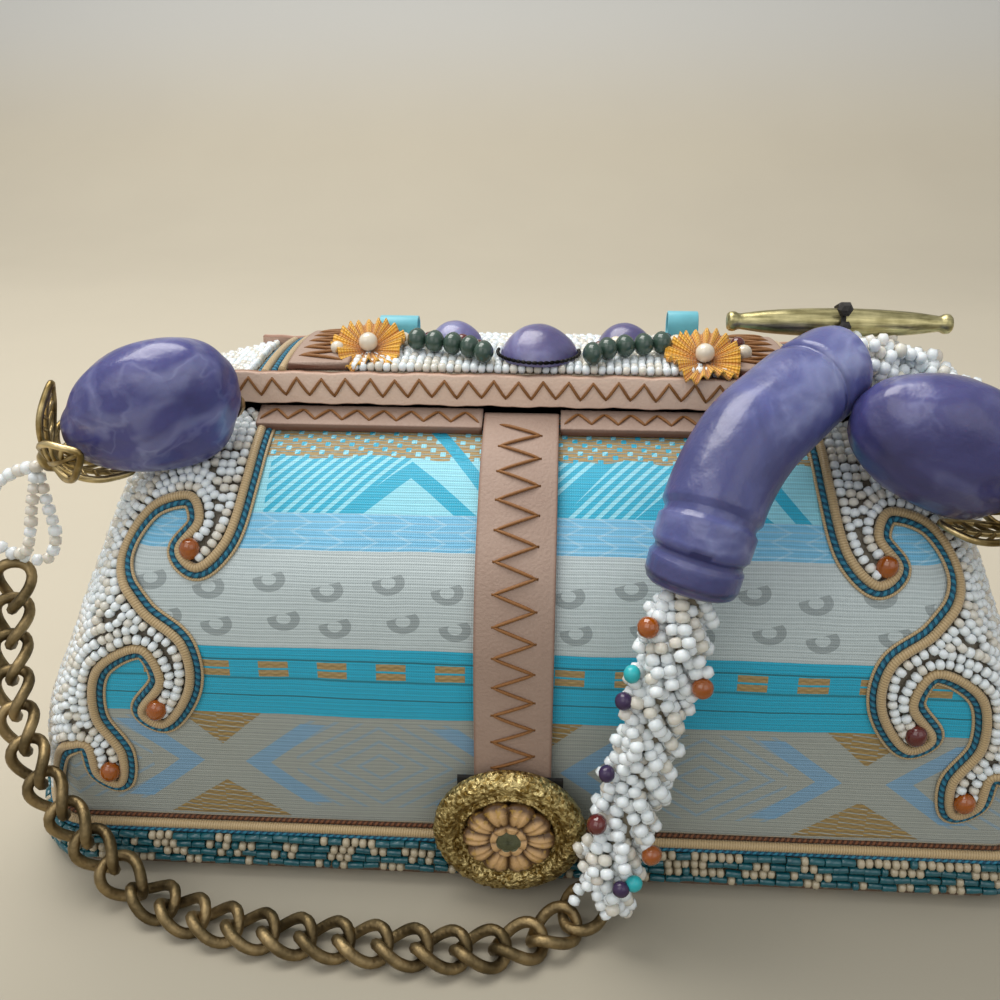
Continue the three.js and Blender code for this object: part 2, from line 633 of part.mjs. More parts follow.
function makeLidStones() {
  add('cabochon_front', placed(dome(cabochon.diameter / 2, cabochon.height, 10),
    [0, cabochon.y, lidTop(0, 0)]), finishes.resin);
  for (const [name, side] of [['left', -1], ['right', 1]]) {
    add(`cabochon_${name}`, placed(dome(backCabochon.diameter / 2, backCabochon.height, 10),
      [side * backCabochon.x, backCabochon.y, lidTop(0, 0)]), finishes.resin);
    const { x, y } = flowerPlaces[name];
    add(`flower_${name}`, placed(makeFlower(), [x, y, lidTop(x, y)]), finishes.petals);
    const ribbonPlace = [side * ribbon.x, ribbon.y, lidTop(ribbon.x, ribbon.y) + gap];
    add(`ribbon_${name}`, placed(makeRibbon(), ribbonPlace), finishes.ribbonCloth);
    const row = curveThrough(greenBeadRow
      .map(({ x: out, y: back }) => [side * out, back, lidTop(out, back) + roundBead.diameter / 2]));
    const beadRadius = (share) => (roundBead.diameter / 2) * THREE.MathUtils.lerp(
      roundBead.waist, 1, Math.abs(Math.sin(Math.PI * roundBead.count * share / 2)));
    add(`green_beads_${name}`, sweep(row, 9, 6, beadRadius), finishes.greenStone);
  }
}

// The reach of an outline towards a place, between its rows.
function outlineReach(rows, x, y) {
  const angle = (THREE.MathUtils.radToDeg(Math.atan2(y, x)) + 360) % 360;
  const next = rows.findIndex((row) => row.angle >= angle);
  if (next <= 0) return rows[0].reach;
  const [low, high] = [rows[next - 1], rows[next]];
  return THREE.MathUtils.mapLinear(angle, low.angle, high.angle, low.reach, high.reach);
}

function makeNuggets() {
  for (const [name, { centre, along, hub, hook, taper, tall }] of Object.entries(nuggets)) {
    const middle = vector(onBag(centre));
    const e1 = vector(along).normalize();
    const e3 = new THREE.Vector3(0, -1, 0).addScaledVector(e1, e1.y).normalize();
    const e2 = e3.clone().cross(e1).normalize();
    if (e2.z < 0) e2.negate();
    const halfHeight = nugget.halfHeight * tall;
    const surface = (p) => {
      const fat = 1 + taper * p.x;
      const flat = 1 - 0.05 * Math.cos(3 * Math.atan2(p.y, p.z) + 1);
      const outwards = (p.x * p.x + p.y * p.y)
        * (outlineReach(nuggetOutlines[name], p.x * nugget.halfLength, p.y * halfHeight) - 1);
      return middle.clone()
        .addScaledVector(e1, p.x * nugget.halfLength * (1 + outwards))
        .addScaledVector(e2, p.y * halfHeight * fat * flat * (1 + outwards))
        .addScaledVector(e3, p.z * nugget.halfThickness * fat * flat);
    };
    const geometry = new THREE.IcosahedronGeometry(1, 2);
    const position = geometry.attributes.position;
    for (let i = 0; i < position.count; i++) {
      const place = surface(new THREE.Vector3().fromBufferAttribute(position, i));
      position.setXYZ(i, place.x, place.y, place.z);
    }
    add(`nugget_${name}`, solidOf(geometry), finishes.resin);

    const outward = vector(hook).normalize();
    const local = new THREE.Vector3(outward.dot(e1) / nugget.halfLength,
      outward.dot(e2) / nugget.halfHeight, outward.dot(e3) / nugget.halfThickness).normalize();
    const square = e1.clone().multiplyScalar(local.x / nugget.halfLength)
      .addScaledVector(e2, local.y / nugget.halfHeight)
      .addScaledVector(e3, local.z / nugget.halfThickness).normalize();
    const cap = geometryOf(dome(starCap.diameter / 2, starCap.height, 8,
      [[0.5, 0], [1, 0.3], [0.7, 0.7], [0.35, 1]]));
    cap.applyQuaternion(new THREE.Quaternion().setFromUnitVectors(new THREE.Vector3(0, 0, 1), square));
    cap.translate(...surface(local).addScaledVector(square, 1.5 * gap).toArray());
    add(`nugget_cap_${name}`, cap, finishes.gold);
    makeLeafCap(name, middle, middle.clone().add(vector(hub)));
  }
}

// One pierced leaf, flat: a pointed oval with a rib and slanted openings.
function leafPlate() {
  const { leaf: length, leafWidth: width, sheet } = leafCap;
  const side = [[0, 0.24], [0.22, 0.8], [0.6, 0.94], [1, 0.08]];
  const plate = (points) => {
    const shape = new THREE.Shape(points.map(([x, y]) => new THREE.Vector2(x * length, (y * width) / 2)));
    return solidOf(new THREE.ExtrudeGeometry(shape, { depth: sheet, bevelEnabled: false }));
  };
  let pierced = plate([...side, ...side.map(([x, y]) => [x, -y]).reverse()]);
  for (const sign of [1, -1]) {
    pierced = pierced.subtract(plate([[0.32, 0.16], [0.76, 0.16], [0.62, 0.7], [0.4, 0.64]]
      .map(([x, v]) => [x, sign * v])));
  }
  return geometryOf(pierced);
}

function makeLeafCap(name, centre, hub) {
  const axis = centre.clone().sub(hub).normalize();
  const up = new THREE.Vector3(0, 0, 1).addScaledVector(axis, -axis.z).normalize();
  const front = new THREE.Vector3(0, -1, 0)
    .addScaledVector(axis, axis.y).addScaledVector(up, up.y).normalize();
  const leaves = [
    { around: 0, lean: 1.06, bend: 0.1 },
    { around: Math.PI / 2, lean: 1.15, bend: 0.25 },
    { around: Math.PI, lean: 0.9, bend: 0.15 },
    { around: -Math.PI / 2, lean: 1.15, bend: 0.25 },
  ];
  let cap = dome(leafCap.hub / 2, leafCap.hubDepth, 8, [[0.45, -0.5], [0.95, 0.1], [0.8, 1]]);
  const turn = new THREE.Quaternion().setFromUnitVectors(new THREE.Vector3(0, 0, 1), axis);
  const hubGeometry = geometryOf(cap);
  hubGeometry.applyQuaternion(turn);
  hubGeometry.translate(...hub.toArray());
  cap = solidOf(hubGeometry);
  for (const { around, lean, bend } of leaves) {
    const out = up.clone().multiplyScalar(Math.cos(around)).addScaledVector(front, Math.sin(around));
    const across = axis.clone().cross(out).normalize();
    const geometry = leafPlate();
    const position = geometry.attributes.position;
    for (let i = 0; i < position.count; i++) {
      const along = position.getX(i) + leafCap.root;
      const angle = lean + bend - (2 * bend * along) / leafCap.leaf;
      const normalLift = position.getZ(i) - leafCap.sheet / 2;
      const place = hub.clone().addScaledVector(axis, 1)
        .addScaledVector(axis, along * Math.cos(angle) - normalLift * Math.sin(angle))
        .addScaledVector(out, along * Math.sin(angle) + normalLift * Math.cos(angle))
        .addScaledVector(across, position.getY(i));
      position.setXYZ(i, place.x, place.y, place.z);
    }
    cap = cap.add(solidOf(geometry));
  }
  add(`leaf_cap_${name}`, cap, finishes.gold);
}

// Chain links, each an oval of wire twisted so that the chain lies flat.
function chainLink(centre, along, flat) {
  const side = flat.clone().cross(along).normalize();
  const face = along.clone().cross(side).normalize();
  const a = (link.length - link.wire) / 2;
  const b = (link.width - link.wire) / 2;
  const steps = 6;
  const pointAt = (t) => {
    const x = a * Math.sign(Math.cos(t)) * Math.abs(Math.cos(t)) ** link.square;
    const y = b * Math.sign(Math.sin(t)) * Math.abs(Math.sin(t)) ** link.square;
    const turn = (link.twist * x) / a;
    return centre.clone().addScaledVector(along, x)
      .addScaledVector(side, y * Math.cos(turn)).addScaledVector(face, y * Math.sin(turn));
  };
  const rings = Array.from({ length: steps }, (_, i) => {
    const t = (2 * Math.PI * (i + 0.5)) / steps;
    const here = pointAt(t);
    const tangent = pointAt(t + 0.05).sub(pointAt(t - 0.05)).normalize();
    const spoke = here.clone().sub(centre);
    const outward = spoke.clone().addScaledVector(tangent, -spoke.dot(tangent)).normalize();
    const other = tangent.clone().cross(outward);
    return Array.from({ length: 5 }, (_, j) => {
      const angle = (2 * Math.PI * j) / 5;
      return here.clone().addScaledVector(outward, (link.wire / 2) * Math.cos(angle))
        .addScaledVector(other, (link.wire / 2) * Math.sin(angle));
    });
  });
  return loft(rings, true);
}

function linksAlong(curve, count) {
  let chain = null;
  for (let i = 0; i < count; i++) {
    const share = (i + 0.5) / count;
    const centre = curve.getPointAt(share);
    const along = curve.getTangentAt(share);
    const outwards = new THREE.Vector3(centre.x > 0 ? 1 : -0.35, centre.x > 0 ? 0 : -1, 0.2);
    const lying = THREE.MathUtils.smoothstep(1 - Math.abs(along.z), 0.1, 0.9);
    const flat = outwards.lerp(new THREE.Vector3(0, 0, 1), lying).normalize();
    const piece = chainLink(centre, along, flat);
    chain = chain ? chain.add(piece) : piece;
  }
  return chain;
}

// The links are set near the pitch, a little further apart where they wouldn't all touch.
function makeChains() {
  for (const [name, route] of Object.entries(chainRoutes)) {
    const curve = curveThrough(route.map(onBag));
    let count = Math.round(curve.getLength() / link.pitch);
    let chain = linksAlong(curve, count);
    while (chain.decompose().length > 1) {
      count -= 1;
      chain = linksAlong(curve, count);
    }
    add(`chain_${name}`, chain, finishes.chainBrass);
  }
}

function makeBeadLoops() {
  const blob = strand.diameter * 0.62;
  for (const [name, strands] of Object.entries(loopRoutes)) {
    const hub = vector(onBag(nuggets[name].centre)).add(vector(nuggets[name].hub));
    const axis = vector(nuggets[name].hub).negate().normalize();
    const seat = hub.addScaledVector(axis, -(leafCap.hubDepth / 2 + gap + blob));
    let loops = sphere(seat.toArray(), blob, 6).add(sphere(onBag(strands[0].at(-1)), blob, 6));
    for (const points of strands) {
      loops = loops.add(sweep(curveThrough([seat.toArray(), ...points.map(onBag)]), 5, 5,
        () => strand.diameter / 2));
    }
    add(`bead_loops_${name}`, loops, finishes.whiteBeads);
  }
}

function nearestShare(curve, place, samples = 400) {
  let best = 0;
  for (let i = 0; i <= samples; i++) {
    const share = i / samples;
    if (curve.getPointAt(share).distanceTo(place) < curve.getPointAt(best).distanceTo(place)) best = share;
  }
  return best;
}

// The rope's part between two shares of its length, as a curve of its own.
function partOf(curve, from, to, points = 14) {
  const list = Array.from({ length: points + 1 }, (_, i) =>
    curve.getPointAt(from + ((to - from) * i) / points));
  return new THREE.CatmullRomCurve3(list, false, 'centripetal');
}

function makeRope() {
  const curve = curveThrough(ropeRoute.map(onBag));
  const from = nearestShare(curve, vector(onBag(tubeSpan.from)));
  const to = nearestShare(curve, vector(onBag(tubeSpan.to)));
  const inside = (share) => THREE.MathUtils.smoothstep(share, from - 0.02, from + 0.02)
    * (1 - THREE.MathUtils.smoothstep(share, to - 0.02, to + 0.02));
  const radius = (share, angle) => {
    const full = THREE.MathUtils.lerp(rope.diameter, rope.insideDiameter, inside(share)) / 2;
    const taper = Math.min(1, 0.5 + 12 * share, 0.5 + 12 * (1 - share));
    const lobes = 1 - 0.06 * (1 + Math.cos(3 * (angle - share * 30)));
    return full * taper * (inside(share) > 0.01 ? 1 : lobes);
  };
  add('bead_rope', sweep(curve, 24, 8, radius), finishes.whiteBeads);

  const tube = partOf(curve, from, to);
  const fine = 100;
  const unit = sweepRings(tube, fine, 10, () => 0.5);
  const rings = (rows, scale) => rows.map(([share, size]) => {
    const i = Math.round(share * fine);
    const centre = tube.getPointAt(i / fine);
    return unit[i].map((p) => p.clone().sub(centre).multiplyScalar(size * scale).add(centre));
  });
  add('tube_bead', loft([...rings(tubeOutside, tubeBead.diameter),
    ...rings(tubeInside, tubeBead.bore).reverse()], true), finishes.resin);
}

function makeBar() {
  const place = onBag(barPlace);
  const shares = [[-1, 0], [-0.92, 0.35], [-0.6, 0.78], [0, 1], [0.6, 0.78], [0.92, 0.35], [1, 0]];
  const rings = shares.map(([along, full]) => {
    const radius = THREE.MathUtils.lerp(bar.endDiameter, bar.diameter, full) / 2;
    return Array.from({ length: 10 }, (_, j) => {
      const angle = (2 * Math.PI * j) / 10;
      return new THREE.Vector3(along * bar.length / 2, radius * Math.cos(angle), radius * Math.sin(angle))
        .add(vector(place));
    });
  });
  add('spindle_bar', loft(rings), finishes.oliveBrass);
  const ringRadius = bar.diameter / 2 + gap + tie.thickness / 2;
  const ring = new THREE.TorusGeometry(ringRadius, tie.thickness / 2, 5, 8);
  ring.rotateY(Math.PI / 2);
  ring.translate(...place);
  const [x, y, z] = place;
  const reach = ringRadius + tie.knot / 2 - 0.4;
  const knots = sphere([x, y - reach * 0.72, z + reach * 0.72], tie.knot / 2, 6)
    .add(sphere([x, y - reach * 0.99, z + 0.3], tie.knot * 0.4, 6));
  add('bar_tie', solidOf(ring).add(knots), finishes.blackCord);
}

makeBody();
makeBeading();
makeLeather();
makeButton();
makeLid();
makeLidStones();
makeNuggets();
makeChains();
makeBeadLoops();
makeRope();
makeBar();

export default clutch;
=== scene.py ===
"""Looks of the embellished clutch bag: brocade, bead work, leather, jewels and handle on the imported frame."""

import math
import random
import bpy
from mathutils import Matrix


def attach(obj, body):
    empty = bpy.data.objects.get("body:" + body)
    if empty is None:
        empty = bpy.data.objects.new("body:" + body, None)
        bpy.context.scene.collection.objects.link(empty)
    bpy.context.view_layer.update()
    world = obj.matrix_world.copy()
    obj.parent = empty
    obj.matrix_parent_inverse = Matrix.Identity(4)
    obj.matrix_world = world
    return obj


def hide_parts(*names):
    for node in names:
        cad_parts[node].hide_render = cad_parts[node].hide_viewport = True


bl_info = {
    "name": "Embellished clutch bag",
    "version": (1, 0, 0),
    "blender": (4, 5, 0),
    "location": "3D View > Sidebar > Clutch",
    "description": "Builds a beaded brocade clutch bag with its jewelled lid and handle",
    "category": "Object",
}

import bmesh
import bpy
import numpy as np
from mathutils import Matrix

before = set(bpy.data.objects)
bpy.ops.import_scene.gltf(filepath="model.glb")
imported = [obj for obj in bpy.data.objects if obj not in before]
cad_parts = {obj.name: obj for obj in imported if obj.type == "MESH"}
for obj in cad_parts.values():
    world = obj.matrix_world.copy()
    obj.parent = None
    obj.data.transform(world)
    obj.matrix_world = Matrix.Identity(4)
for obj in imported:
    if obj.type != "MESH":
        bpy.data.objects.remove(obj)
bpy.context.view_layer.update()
MM = 0.001
UP = np.array((0.0, 0.0, 1.0))

# The bag's form in millimetres: height, half depth, half front width, half length.
LEVELS = np.array((
    (2.7, 55.0, 107.0, 128.0), (37.8, 55.0, 104.9, 119.8), (54.05, 54.6, 99.0, 111.6),
    (64.9, 53.4, 93.3, 107.3), (77.6, 48.7, 85.6, 102.7), (88.96, 39.05, 79.5, 98.3),
    (96.98, 29.15, 74.9, 93.1), (103.0, 15.1, 69.6, 87.4),
))
RIM_Z, FOOT_Z = 103.0, 2.7
SCROLL_SPAN = (107.0, RIM_Z)

# The scroll's centre line on the front: share of half the front width, share of the rim's height.
SCROLL = (
    (0.6, 0.981), (0.606, 0.903), (0.631, 0.806), (0.687, 0.761), (0.726, 0.791), (0.692, 0.84),
    (0.715, 0.878), (0.794, 0.856), (0.846, 0.762), (0.799, 0.678), (0.718, 0.607), (0.712, 0.505),
    (0.78, 0.408), (0.821, 0.437), (0.772, 0.519), (0.804, 0.594), (0.902, 0.544), (0.925, 0.422),
    (0.881, 0.32), (0.899, 0.239), (0.942, 0.262), (0.958, 0.345), (1.009, 0.33), (1.056, 0.209),
    (1.075, 0.12),
)
HOOK_DROPS = ((75.0, 81.5), (84.0, 46.5), (97.5, 28.8))

NUGGETS = {
    "left": dict(centre=(-86, -33.1, 110.7), along=(0.936, 0.185, 0.297), hub=(-109, -36.4, 98.5),
                 taper=0.1, tall=1.0, lift=0.0),
    "right": dict(centre=(83.1, -42.5, 108.6), along=(-0.93, -0.02, 0.36), hub=(104.3, -44.9, 90.2),
                  taper=-0.06, tall=1.06, lift=0.7),
}
NUGGET_HALVES = (20.0, 14.2, 11.5)
# Their outlines seen from the front, as shares of an oval at angles from the long axis.
NUGGET_OUTLINES = {
    "left": ((0, 1.02), (16, 1.06), (45, 1.02), (80, 0.97), (112, 1.03), (130, 0.96), (149, 0.87),
             (170, 0.93), (184, 1.0), (203, 0.99), (235, 0.99), (264, 1.0), (290, 1.08), (306, 1.13),
             (325, 1.08), (346, 1.0)),
    "right": ((0, 1.0), (22, 0.94), (46, 0.96), (95, 0.97), (136, 0.95), (180, 1.05), (206, 1.1),
              (226, 0.98), (273, 0.87), (308, 0.9), (330, 0.97)),
}
CHAINS = {
    "left": (
        (-123.5, -34.5, 69.5), (-124.4, -37.5, 60), (-123.8, -43, 50.5), (-120.6, -51, 40.5),
        (-114.5, -58.5, 30.5), (-107, -63, 21), (-99, -66, 12.5), (-90, -69, 5.4),
        (-76, -74.2, 3.5), (-62, -77.5, 3.5), (-49.4, -79, 3.5), (-38, -79.7, 3.5),
        (-27, -80.4, 3.5), (-16, -80.6, 3.5), (-5, -79.4, 3.5), (4.7, -75.4, 3.7),
        (11.4, -71.2, 5.3), (16.8, -68.4, 8.8),
    ),
    "right": (
        (118.5, 27.9, 63.6), (120.8, 29.6, 53), (124.8, 32, 40), (130, 35.5, 24),
        (135.6, 38, 11.5), (141, 37, 5.6), (144.5, 29, 4.2), (145.5, 18, 3.8), (144.5, 6, 4),
        (141.5, -5, 5.4), (138, -14, 10.6), (135.6, -21, 20), (134, -27, 33), (132.5, -32, 46),
        (129.9, -36.1, 58.7),
    ),
}
ROPE = (
    (17.5, -69.4, 12.5), (19.4, -69, 21.6), (22.4, -67.4, 32.5), (24.9, -66.6, 46.6),
    (26.4, -66.2, 58.7), (29, -65, 70.4), (31.3, -62.4, 82.5), (34.6, -59, 95.3), (38, -53, 103.4),
    (43.3, -46.6, 110.1), (51.2, -39.6, 115), (58, -33.2, 118.2), (65.6, -26.8, 120.4),
    (74, -22, 119), (82, -19, 115.6), (89, -17.4, 111.6), (96, -17, 106.2), (102, -12, 99.2),
    (109.5, -3.5, 92.8), (114, 6.5, 85), (117, 16, 77.5), (118.4, 23, 70.5), (118.6, 26, 67),
)
TUBE_SPAN = ((31.6, -62, 84.5), (65, -27.4, 120.3))
LOOPS = {
    "left": (
        ((-117, -35.2, 95.3), (-123.5, -34.4, 91.4), (-127.6, -34.2, 84.5), (-127.8, -34.2, 77),
         (-123.3, -34.4, 73.6)),
        ((-114.5, -37, 87.9), (-116.4, -37, 80.5), (-119, -36.2, 75), (-123.3, -34.4, 73.6)),
        ((-111.8, -35.4, 87), (-112.2, -34.2, 77.5), (-116, -33.8, 71.8), (-123.3, -34.4, 73.6)),
    ),
    "right": (
        ((113.5, -41.6, 89), (120.5, -40, 85.5), (128, -38.6, 78), (131.6, -37.4, 69),
         (129.6, -36.4, 62.3)),
        ((111.5, -43, 81), (117, -42, 74), (123.4, -39.6, 66.5), (129.6, -36.4, 62.3)),
        ((108.6, -41.8, 79), (113, -41, 70), (121.4, -38.4, 62.5), (129.6, -36.4, 62.3)),
    ),
}
BAR_PLACE = (66.7, -15.8, 127.1)
TUBE_RADIUS = 10.5
THREAD_GAP = 0.08
LEAF = 15.0
# Coloured drops on the rope: kind, share of the rope's length, how far to the right it faces.
ROPE_DROPS = (
    ("turquoise", 0.035, 0.6), ("plum", 0.03, 0.2), ("amber", 0.062, 1.2), ("garnet", 0.075, -1.6),
    ("plum", 0.13, -2.5), ("plum", 0.205, -2.2), ("turquoise", 0.23, -2.2), ("amber", 0.235, 1.4),
    ("amber", 0.275, -1.5), ("turquoise", 0.66, 0.3), ("amber", 0.74, 1.0), ("garnet", 0.84, 1.4),
    ("amber", 0.92, 1.8),
)


def hex_colour(code):
    """Linear red, green, blue and alpha of a colour such as #CBA388."""
    parts = [int(code[i:i + 2], 16) / 255 for i in (1, 3, 5)]
    linear = [c / 12.92 if c <= 0.04045 else ((c + 0.055) / 1.055) ** 2.4 for c in parts]
    return (*linear, 1.0)


def as_colour(value):
    return hex_colour(value) if isinstance(value, str) else value


def length(name, description, millimetres):
    return bpy.props.FloatProperty(name=name, description=description, default=millimetres * MM, min=0.0,
                                   unit="LENGTH", precision=4)


def colour(name, description, code):
    return bpy.props.FloatVectorProperty(name=name, description=description, default=hex_colour(code),
                                         size=4, min=0.0, max=1.0, subtype="COLOR")


class ClutchSizes(bpy.types.PropertyGroup):
    """Sizes of the small parts that dress the bag."""

    seed_bead: length("Seed bead", "Diameter of the beads in the beaded fields", 2.35)
    bead_row: length("Bead row", "Distance between rows of the beaded fields", 2.0)
    rope_bead: length("Rope bead", "Diameter of the beads on the rope and loops", 3.05)
    band_bead: length("Band bead", "Diameter of the beads on the base band", 2.3)
    bugle: length("Bugle bead", "Length of the tube beads on the base band", 3.4)
    leather: length("Leather", "Thickness of the leather straps", 2.2)
    strap: length("Strap", "Width of the front strap", 17.5)
    yarn: length("Thread", "Diameter of the sewing thread", 0.78)
    cord: length("Gold cord", "Diameter of the cord along the scrolls", 2.1)
    drop: length("Amber drop", "Diameter of the drops in the scrolls' hooks", 5.2)


class ClutchColours(bpy.types.PropertyGroup):
    """Colours of the clutch."""

    silk: colour("Silk", "Turquoise ground of the brocade", "#1CB4D8")
    figures: colour("Figures", "Tan figures of the brocade", "#B0935C")
    ground: colour("Ground", "Beige lower ground of the brocade", "#A8ADA5")
    white_glass: colour("White glass", "Most of the seed beads", "#E6ECEE")
    cream_glass: colour("Cream glass", "The rest of the seed beads", "#D8D0C0")
    teal_glass: colour("Teal glass", "Bugle beads of the base band", "#17656E")
    leather: colour("Leather", "Straps and strips", "#AC9586")
    thread: colour("Thread", "Sewing thread", "#9C6C38")
    gold_cord: colour("Gold cord", "Cord along the scrolls and foot", "#C4AC80")
    braid: colour("Braid", "Blue braid beside the gold cord", "#2A7C98")
    brass: colour("Brass", "The curb chain", "#A48F68")
    amber: colour("Amber", "Amber drops", "#B85F06")
    petals: colour("Petals", "Pleated ribbon flowers", "#F7B322")
    aqua: colour("Aqua ribbon", "Ribbon loops on the lid", "#6CC0D0")
    floor: colour("Floor", "Floor and backdrop", "#C3BBA8")


def mm(name):
    """One of the clutch's sizes in millimetres."""
    return getattr(bpy.context.scene.clutch_sizes, name) / MM


def tone(name):
    return tuple(getattr(bpy.context.scene.clutch_colours, name))


# Shader nodes


class Socket:
    """A shader socket that takes part in Python expressions."""

    def __init__(self, tree, socket):
        self.tree = tree
        self.socket = socket

    def node(self, kind, settings=None, values=None, output=0):
        """Adds any node: first its settings, then its sockets' values or links."""
        made = self.tree.nodes.new(kind)
        for key, value in (settings or {}).items():
            setattr(made, key, value)
        for key, value in (values or {}).items():
            if isinstance(value, Socket):
                self.tree.links.new(value.socket, made.inputs[key])
            else:
                made.inputs[key].default_value = value
        return Socket(self.tree, made.outputs[output])

    def maths(self, operation, *others):
        return self.node("ShaderNodeMath", {"operation": operation},
                         dict(enumerate((self, *others))))

    def __add__(self, other):
        return self.maths("ADD", other)

    def __mul__(self, other):
        return self.maths("MULTIPLY", other)

    __radd__, __rmul__ = __add__, __mul__

    def __sub__(self, other):
        return self.maths("SUBTRACT", other)

    def __rsub__(self, other):
        return self.node("ShaderNodeMath", {"operation": "SUBTRACT"}, {0: other, 1: self})

    def __truediv__(self, other):
        return self.maths("DIVIDE", other)

    def __neg__(self):
        return self * -1.0

    def __abs__(self):
        return self.maths("ABSOLUTE")

    def __gt__(self, other):
        return self.maths("GREATER_THAN", other)

    def __lt__(self, other):
        return self.maths("LESS_THAN", other)

    def sine(self):
        return self.maths("SINE")

    def parts(self):
        """The three numbers of a vector."""
        return [self.node("ShaderNodeSeparateXYZ", None, {0: self}, i) for i in range(3)]

    def wrapped(self, period, middle=0.0):
        """Distance from the nearest repeat of middle, from -period/2 to period/2."""
        return self.maths("SUBTRACT", middle).maths("WRAP", -period / 2, period / 2)

    def within(self, low, high):
        """1 where the value lies between low and high."""
        return (self > low) * (self < high)

    def soft(self, low, high):
        """0 at low, 1 at high, smooth between them."""
        return self.node("ShaderNodeMapRange", {"interpolation_type": "SMOOTHSTEP"},
                         {0: self, 1: low, 2: high})

    def noise(self, scale, detail=3.0, output=0):
        return self.node("ShaderNodeTexNoise", None,
                         {"Vector": self, "Scale": scale, "Detail": detail}, output)

    def mix(self, first, second):
        """Colours, given as sockets, values or codes, mixed by this value."""
        values = {0: self, 6: as_colour(first), 7: as_colour(second)}
        return self.node("ShaderNodeMix", {"data_type": "RGBA"}, values, 2)


FINISHES = {}


def finish(name, paint, **shader):
    """A material that paint(object coordinates, principled values) fills in, made once."""
    if name in FINISHES:
        return FINISHES[name]
    material = bpy.data.materials.new(name)
    material.use_nodes = True
    tree = material.node_tree
    principled = next(n for n in tree.nodes if n.type == "BSDF_PRINCIPLED")
    for key, value in shader.items():
        principled.inputs[key.replace("_", " ")].default_value = value
    place = Socket(tree, tree.nodes.new("ShaderNodeTexCoord").outputs["Object"])
    for key, value in paint(place).items():
        if isinstance(value, Socket):
            tree.links.new(value.socket, principled.inputs[key])
        else:
            principled.inputs[key].default_value = value
    FINISHES[name] = material
    return material


def attribute(place, name, output=1):
    """A piece's own attribute: output 1 is its vector, 2 its number."""
    return place.node("ShaderNodeAttribute", {"attribute_name": name}, None, output)


def bump(height, distance):
    return height.node("ShaderNodeBump", None, {"Height": height, "Distance": distance})


# Curves and frames, in millimetres


def spline(points, count):
    """Evenly spaced points of a centripetal curve through a few points."""
    p = np.array(points, float)
    p = np.vstack((2 * p[0] - p[1], p, 2 * p[-1] - p[-2]))
    fine = []
    for i in range(1, len(p) - 2):
        a, b, c, d = p[i - 1:i + 3]
        t0, t1, t2 = (max(np.linalg.norm(v), 1e-6) ** 0.5 for v in (b - a, c - b, d - c))
        m1 = ((b - a) / t0 - (c - a) / (t0 + t1) + (c - b) / t1) * t1
        m2 = ((c - b) / t1 - (d - b) / (t1 + t2) + (d - c) / t2) * t1
        t = np.linspace(0, 1, 24, endpoint=False)[:, None]
        fine.append(b + m1 * t + (3 * c - 3 * b - 2 * m1 - m2) * t ** 2 + (2 * b - 2 * c + m1 + m2) * t ** 3)
    fine.append(p[-2][None])
    fine = np.vstack(fine)
    return even(fine, count)


def way_along(path):
    """The length run from the start to each point of a path."""
    return np.concatenate(((0,), np.cumsum(np.linalg.norm(np.diff(path, axis=0), axis=1))))


def even(path, count):
    """A path's points again, evenly spaced."""
    run = way_along(path)
    wanted = np.linspace(0, run[-1], count)
    return np.stack([np.interp(wanted, run, path[:, k]) for k in range(path.shape[1])], axis=1)


def unit(v):
    return v / np.maximum(np.linalg.norm(v, axis=-1, keepdims=True), 1e-9)


def tangents(path, closed=False):
    if closed:
        return unit(np.roll(path, -1, 0) - np.roll(path, 1, 0))
    return unit(np.gradient(path, axis=0))


def frames(path, closed=False):
    """Tangent, normal and binormal along a path, turning as little as possible."""
    along = tangents(path, closed)
    first = np.cross(along[0], UP)
    if np.linalg.norm(first) < 0.1:
        first = np.cross(along[0], (1.0, 0.0, 0.0))
    normals = [unit(first)]
    for t in along[1:]:
        n = normals[-1] - t * np.dot(normals[-1], t)
        normals.append(unit(n))
    normals = np.array(normals)
    if closed:
        last = unit(normals[-1] - along[0] * np.dot(normals[-1], along[0]))
        off = math.atan2(np.dot(np.cross(last, normals[0]), along[0]), np.dot(last, normals[0]))
        share = np.linspace(0, 1, len(path), endpoint=False)[:, None] * off
        normals = normals * np.cos(share) + np.cross(along, normals) * np.sin(share)
    return along, normals, np.cross(along, normals)


def length_of(path):
    return float(np.linalg.norm(np.diff(path, axis=0), axis=1).sum())


# The bag's form


def make_profile():
    path = spline(LEVELS[:, :2], 400)
    z = path[:, 0]
    extra = spline(np.column_stack((LEVELS[:, 0], LEVELS[:, 2], LEVELS[:, 3])), 400)
    front = np.interp(z, extra[:, 0], extra[:, 1])
    length = np.interp(z, extra[:, 0], extra[:, 2])
    arc = way_along(path)
    return z, path[:, 1], front, length, arc


PROFILE_Z, PROFILE_DEPTH, PROFILE_FRONT, PROFILE_LENGTH, PROFILE_ARC = make_profile()


def level(z):
    """Half depth, half front width and half length at a height."""
    return (np.interp(z, PROFILE_Z, values) for values in (PROFILE_DEPTH, PROFILE_FRONT, PROFILE_LENGTH))


def skin(q, z):
    """A point of the front skin: q runs from -1 at the left end's middle to 1 at the right end's."""
    q, z = np.broadcast_arrays(np.asarray(q, float), np.asarray(z, float))
    depth, front, length = level(z)
    turn = np.clip(np.abs(q) - 0.5, 0, 0.5) * math.pi
    x = np.where(np.abs(q) <= 0.5, 2 * q * front, np.sign(q) * (front + (length - front) * np.sin(turn)))
    return np.stack((x, -depth * np.cos(turn), z), axis=-1)


